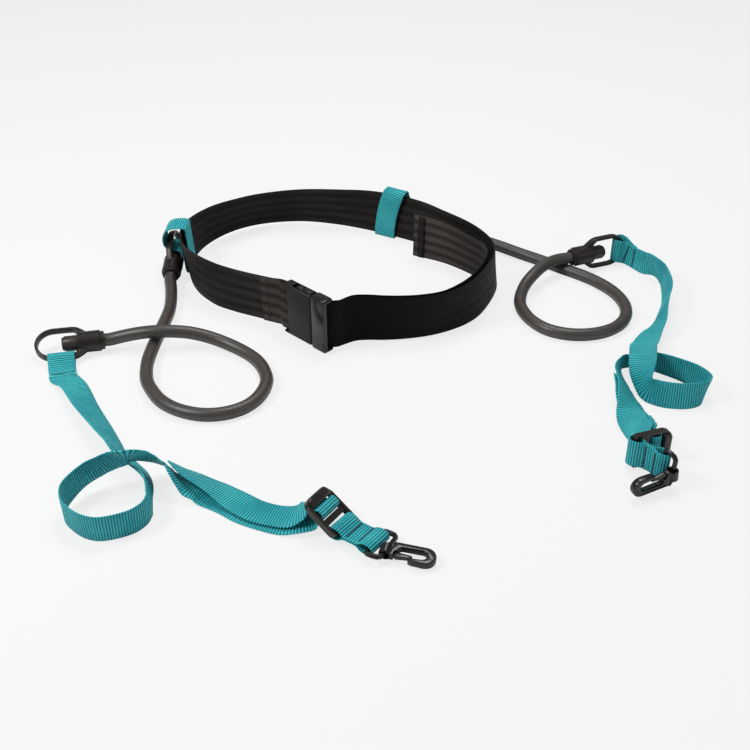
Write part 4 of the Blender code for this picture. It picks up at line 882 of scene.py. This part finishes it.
def in_lock(frame, x, z, flip=1.0):
    """A strap station inside a ladder lock: across its bars at a place along it and a height over it."""
    half = flip * STRAP_WIDTH / 2
    return in_layout(frame, x, half, z), in_layout(frame, x, -half, z)


# Up through the second slot, over the lock bar and into the first slot
LOCK_PLACES = [
    (-1.0, -2.6), (-1.0, 0.8), (-1.6, 2.7), (-3.4, 3.9), (-7.2, 3.9), (-9.1, 2.7), (-9.8, 0.9), (-9.8, 0.3),
]


def through_lock(frame, flip=1.0):
    return [in_lock(frame, x, z, flip) for x, z in LOCK_PLACES]


ENTRY_LEFT = [
    ((-17.5, -217.0, 9.0), (-17.5, -242.0, 6.6)),
    in_lock(LOCK_LEFT, -4.4, -7.0),
]
TAIL_LEFT = [
    in_lock(LOCK_LEFT, -9.8, -0.1, -1.0),
    in_lock(LOCK_LEFT, -9.9, -2.4, -1.0),
    in_lock(LOCK_LEFT, -12.0, -5.2, -1.0),
    in_lock(LOCK_LEFT, -16.0, -7.6, -1.0),
    ((-29.5, -239.0, 11.0), (-24.0, -213.5, 13.6)),
    ((-39.0, -238.5, 5.6), (-31.5, -214.5, 7.4)),
    ((-53.0, -234.2, 3.6), (-44.5, -210.5, 3.6)),
    ((-70.5, -227.5, 3.6), (-59.8, -205.0, 3.6)),
    ((-87.0, -216.0, 4.4), (-76.0, -193.8, 3.6)),
    ((-99.0, -206.0, 8.6), (-90.0, -185.0, 3.6)),
    ((-107.5, -200.4, 12.4), (-100.6, -179.0, 3.8)),
    ((-114.6, -195.4, 14.2), (-110.6, -173.2, 4.0)),
    ((-121.2, -190.2, 15.4), (-120.6, -167.4, 4.4)),
    ((-126.8, -184.6, 16.6), (-130.0, -161.8, 4.8)),
    ((-131.6, -178.4, 17.6), (-138.4, -156.4, 5.0)),
]


def upright(x, y, low):
    """A strap station that stands on its edge."""
    return (x, y, low), (x, y, low + STRAP_WIDTH)


# Places of the right strap's sewn loop, round the ring's upright arm
RIGHT_PLACES = [
    (315.4, 192.7, 1.6), (313.2, 197.2, 2.0), (310.9, 202.6, 2.8), (308.8, 208.0, 3.8),
    (306.4, 212.2, 4.6), (302.2, 214.8, 5.2), (297.0, 213.0, 5.6), (293.2, 209.2, 5.7),
    (291.9, 204.6, 5.7), (293.6, 200.8, 5.6), (297.6, 199.2, 5.0), (303.0, 200.6, 3.2),
]
WRAP_RIGHT = [upright(*place) for place in RIGHT_PLACES]
RUN_RIGHT = [
    ((308.6, 198.9, 1.6), (309.0, 199.4, 27.0)),
    ((315.0, 189.5, 1.1), (315.8, 190.3, 26.5)),
    ((321.3, 179.3, 1.6), (322.6, 180.6, 26.9)),
    ((328.3, 173.5, 3.6), (326.6, 172.6, 28.8)),
    ((333.6, 166.0, 4.2), (330.6, 164.8, 29.3)),
    ((336.2, 156.5, 3.4), (335.4, 156.0, 28.6)),
    ((336.3, 147.5, 2.0), (338.6, 147.4, 27.2)),
    ((332.9, 127.0, 1.0), (339.4, 126.0, 25.4)),
    ((328.4, 110.0, 1.0), (336.0, 108.4, 25.1)),
    ((320.4, 90.0, 1.0), (328.6, 87.8, 24.8)),
    ((312.6, 73.4, 1.0), (323.4, 69.6, 23.7)),
    ((303.0, 60.0, 1.2), (319.6, 53.4, 19.2)),
    ((291.0, 47.0, 2.2), (312.6, 38.8, 13.0)),
    ((280.5, 24.0, 10.0), (304.6, 17.0, 16.0)),
    ((273.0, 4.0, 20.0), (298.0, 0.0, 22.8)),
    ((268.6, -13.0, 26.6), (293.4, -16.6, 28.0)),
    ((265.6, -29.0, 26.2), (288.6, -34.0, 30.8)),
    ((266.0, -43.0, 17.0), (282.6, -48.4, 30.2)),
    ((271.0, -54.0, 5.6), (278.2, -56.6, 28.2)),
    ((279.0, -63.2, 0.3), (279.6, -59.8, 25.5)),
    ((289.0, -70.0, 0.3), (290.4, -65.0, 25.1)),
    ((301.0, -73.0, 0.3), (302.8, -68.0, 25.1)),
    ((314.0, -72.6, 0.3), (316.4, -68.4, 25.1)),
    ((324.5, -67.5, 0.3), (328.6, -65.6, 25.1)),
    ((329.6, -57.0, 0.3), (335.4, -57.0, 25.0)),
    ((328.6, -46.5, 0.3), (333.4, -48.6, 25.1)),
    ((322.6, -35.0, 0.3), (326.6, -39.0, 25.0)),
    ((313.6, -25.6, 0.3), (316.6, -30.6, 25.0)),
    ((303.0, -17.4, 0.3), (305.4, -23.0, 24.9)),
    ((291.5, -10.0, 0.3), (293.6, -17.6, 24.4)),
    ((279.0, -4.6, 0.4), (280.4, -17.4, 22.2)),
    ((266.6, -7.0, 0.5), (263.6, -21.6, 21.0)),
    ((262.6, -19.0, 0.6), (255.6, -36.0, 18.0)),
    ((264.6, -35.0, 1.6), (253.4, -49.0, 19.0)),
    ((266.0, -50.0, 3.4), (252.2, -60.0, 19.0)),
    ((267.6, -63.0, 4.0), (250.6, -71.5, 14.8)),
    ((268.8, -78.0, 4.8), (249.8, -81.5, 8.0)),
    ((266.4, -93.6, 9.6), (248.0, -91.0, 3.8)),
    ((265.0, -108.2, 15.4), (248.0, -100.2, 2.6)),
    ((265.6, -119.7, 18.6), (249.6, -110.4, 2.0)),
    ((267.0, -129.0, 21.8), (253.2, -120.5, 2.0)),
    ((265.0, -137.0, 26.6), (257.0, -133.0, 3.2)),
    ((261.0, -142.6, 29.2), (259.4, -142.0, 4.0)),
]
TAIL_RIGHT = [
    in_lock(LOCK_RIGHT, -9.8, -0.1, -1.0),
    in_lock(LOCK_RIGHT, -9.8, -2.6, -1.0),
    in_lock(LOCK_RIGHT, -9.2, -6.6, -1.0),
    ((269.4, -134.0, 25.4), (262.6, -131.0, 2.0)),
    ((270.6, -125.6, 18.4), (257.4, -117.6, 1.0)),
    ((269.6, -116.0, 14.8), (254.8, -106.6, 0.9)),
    ((269.2, -105.0, 11.0), (253.4, -96.6, 0.8)),
    ((270.4, -91.0, 4.4), (252.2, -88.2, 0.8)),
    ((270.0, -77.0, 1.2), (251.2, -80.6, 3.6)),
    ((266.0, -62.0, 0.8), (248.8, -70.4, 11.6)),
    ((263.2, -50.4, 0.7), (249.4, -60.2, 16.4)),
    ((261.6, -38.0, 0.6), (249.8, -50.6, 18.6)),
]

# Places of the seams that close each strap round its ring, and the sides that they face
SEAMS = {
    "left": [(wrap_left(24.0, -2.8), (0, 0, 1))],
    "right": [(upright(306.6, 199.6, 2.0), (-0.6, -0.8, 0)), (upright(313.5, 191.8, 1.2), (-0.8, -0.6, 0))],
}
STRAPS = {
    "left": (WRAP_LEFT + RUN_LEFT + ENTRY_LEFT + through_lock(LOCK_LEFT), TAIL_LEFT),
    "right": (WRAP_RIGHT + RUN_RIGHT + through_lock(LOCK_RIGHT, -1.0), TAIL_RIGHT),
}


def strap(kind, side, route):
    """One length of a strap. It returns the object and its sections."""
    piece, sections = ribbed(f"strap_cloth_{kind}_{side}", route, STRAP_CLOTH)
    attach(piece, f"strap_{side}")
    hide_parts(f"strap_{kind}_{side}")
    return piece, sections


# Sections of a strap from one point of its cord path to the next
for side, (run_route, tail_route) in STRAPS.items():
    run, sections = strap("run", side, run_route)
    tail, tail_sections = strap("tail", side, tail_route)
    for k, (station, outward) in enumerate(SEAMS[side]):
        near = (Vector(station[0]) + Vector(station[1])) / 2
        seam = sew(f"strap_seam_{side}_{k}", sections, near, outward, STRAP_THICK, STRAP_WIDTH, STRAP_THREAD)
        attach(seam, f"strap_{side}")


# Tabs from lock to hook: the place of the lock's bar, half the height of the joined layers, and both ends
BAR_AT = 13.5
TAB_HALF = 0.95
TAB_START = [
    (-5.0, 0.0), (-4.4, 2.6), (-2.0, 4.5), (1.4, 4.7), (4.6, 3.7), (7.6, 1.8),
    (10.4, TAB_HALF), (13.5, TAB_HALF),
]
TAB_LOOP = [(-15.8, TAB_HALF), (-13.4, 1.6), (-10.8, 3.3), (-7.0, 4.2), (-3.0, 3.6), (-0.7, 1.9)]
TAB_RIGHT_LIFT = Vector((0, 0, 0.5))
TAB_LEFT = frame_of(in_layout(LOCK_LEFT, BAR_AT), heading(-33.5, -2.6), heading(58.0, -6.0))
TAB_RIGHT = frame_of(in_layout(LOCK_RIGHT, BAR_AT) + TAB_RIGHT_LIFT, heading(-43.0), (0, 0, -1))

# Places of the seams along a tab, and each tab's frame with the place of its far end
TAB_SEAMS = (10.9, 22.6)
FOLDS = {"left": (TAB_LEFT, 35.4), "right": (TAB_RIGHT, 32.4)}
for side, (place, fold) in FOLDS.items():
    upper = TAB_START + [(fold + x, z) for x, z in TAB_LOOP]
    profile = upper + [(fold, 0.0)] + [(x, -z) for x, z in reversed(upper[1:])]
    half = STRAP_WIDTH / 2
    stations = [(in_layout(place, x, -half, z), in_layout(place, x, half, z)) for x, z in profile]
    tab, sections = ribbed(f"tab_cloth_{side}", stations, LOOP_CLOTH, cyclic=True)
    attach(tab, f"tab_{side}")
    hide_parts(f"hook_tab_{side}")
    for k, at in enumerate(TAB_SEAMS):
        for face in (1.0, -1.0):
            outward = place.to_3x3().col[2] * face
            near = in_layout(place, at, 0.0, TAB_HALF * face)
            label = "upper" if face > 0 else "lower"
            name = f"tab_seam_{side}_{k}_{label}"
            seam = sew(name, sections, near, outward, STRAP_THICK, STRAP_WIDTH, STRAP_THREAD)
            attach(seam, f"tab_{side}")


# Moulded pieces: the frame's own shapes with smooth rounds and a moulding's finish
ROUND_ANGLE = 38.0
MERGE_DISTANCE = 0.00002
record = frame["record"]
for row in record["subparts"]:
    name, finish = row["node"], row["material_slot"]
    if finish not in MOULDINGS:
        continue
    source = frame["nodes"][name]
    mesh = bmesh.new()
    mesh.from_mesh(source.data)
    mesh.transform(source.matrix_world)
    bmesh.ops.remove_doubles(mesh, verts=mesh.verts, dist=MERGE_DISTANCE)
    points = [tuple(vertex.co) for vertex in mesh.verts]
    faces = [tuple(vertex.index for vertex in face.verts) for face in mesh.faces]
    mesh.free()
    data = bpy.data.meshes.new(f"{name}_moulding")
    data.from_pydata(points, [], faces)
    data.shade_smooth()
    data.set_sharp_from_angle(angle=math.radians(ROUND_ANGLE))
    paint = FORK_GLOSS if name == "buckle_fork" else MOULDINGS[finish]
    piece = painted(f"{name}_moulding", data, paint)
    body = next(key for key, nodes in record["behaviour"]["bodies"].items() if name in nodes)
    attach(piece, body)
    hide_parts(name)

# Pale floor that keeps a share of its shadow
FLOOR_SIZE = 30.0
FLOOR_ROUGHNESS = 0.9
SHADOW_SHARE = 0.16
bpy.ops.mesh.primitive_plane_add(size=FLOOR_SIZE, location=(0.0, 0.0, 0.0))
floor = bpy.context.object
floor.name = "floor"
floor_paint, tree, shader = new_material("floor")
shader.inputs["Base Color"].default_value = PALE_FLOOR
shader.inputs["Roughness"].default_value = FLOOR_ROUGHNESS
glow = node(tree, "ShaderNodeEmission")
glow.inputs["Color"].default_value = PALE_FLOOR
mixed = node(tree, "ShaderNodeMixShader")
seen = node(tree, "ShaderNodeLightPath").outputs["Is Camera Ray"]
tree.links.new(calculate(tree, "MULTIPLY", seen, 1.0 - SHADOW_SHARE), mixed.inputs[0])
tree.links.new(shader.outputs[0], mixed.inputs[1])
tree.links.new(glow.outputs[0], mixed.inputs[2])
tree.links.new(mixed.outputs[0], tree.nodes["Material Output"].inputs["Surface"])
floor.data.materials.append(floor_paint)

# Soft studio light: dim all round, and as pale as the floor where the camera sees it
WORLD_STRENGTH = 0.3
world = bpy.data.worlds.new("studio")
world.use_nodes = True
tree = world.node_tree
background = tree.nodes["Background"]
background.inputs["Color"].default_value = PALE_FLOOR
background.inputs["Strength"].default_value = WORLD_STRENGTH
seen_world = node(tree, "ShaderNodeBackground")
seen_world.inputs["Color"].default_value = PALE_FLOOR
choice = node(tree, "ShaderNodeMixShader")
ray = node(tree, "ShaderNodeLightPath").outputs["Is Camera Ray"]
tree.links.new(ray, choice.inputs[0])
tree.links.new(background.outputs[0], choice.inputs[1])
tree.links.new(seen_world.outputs[0], choice.inputs[2])
tree.links.new(choice.outputs[0], tree.nodes["World Output"].inputs["Surface"])
bpy.context.scene.world = world


def softbox(name, place, power, size):
    """A square studio light that faces the object."""
    data = bpy.data.lights.new(name, "AREA")
    data.energy = power
    data.size = size
    lamp = bpy.data.objects.new(name, data)
    lamp.location = place
    lamp.rotation_euler = Vector(place).to_track_quat("Z", "Y").to_euler()
    bpy.context.scene.collection.objects.link(lamp)


softbox("key", (-0.95, -0.35, 1.15), 13.0, 0.4)
softbox("fill", (1.2, -0.8, 0.8), 2.0, 0.7)
softbox("top", (0.15, 0.45, 1.4), 11.0, 0.6)
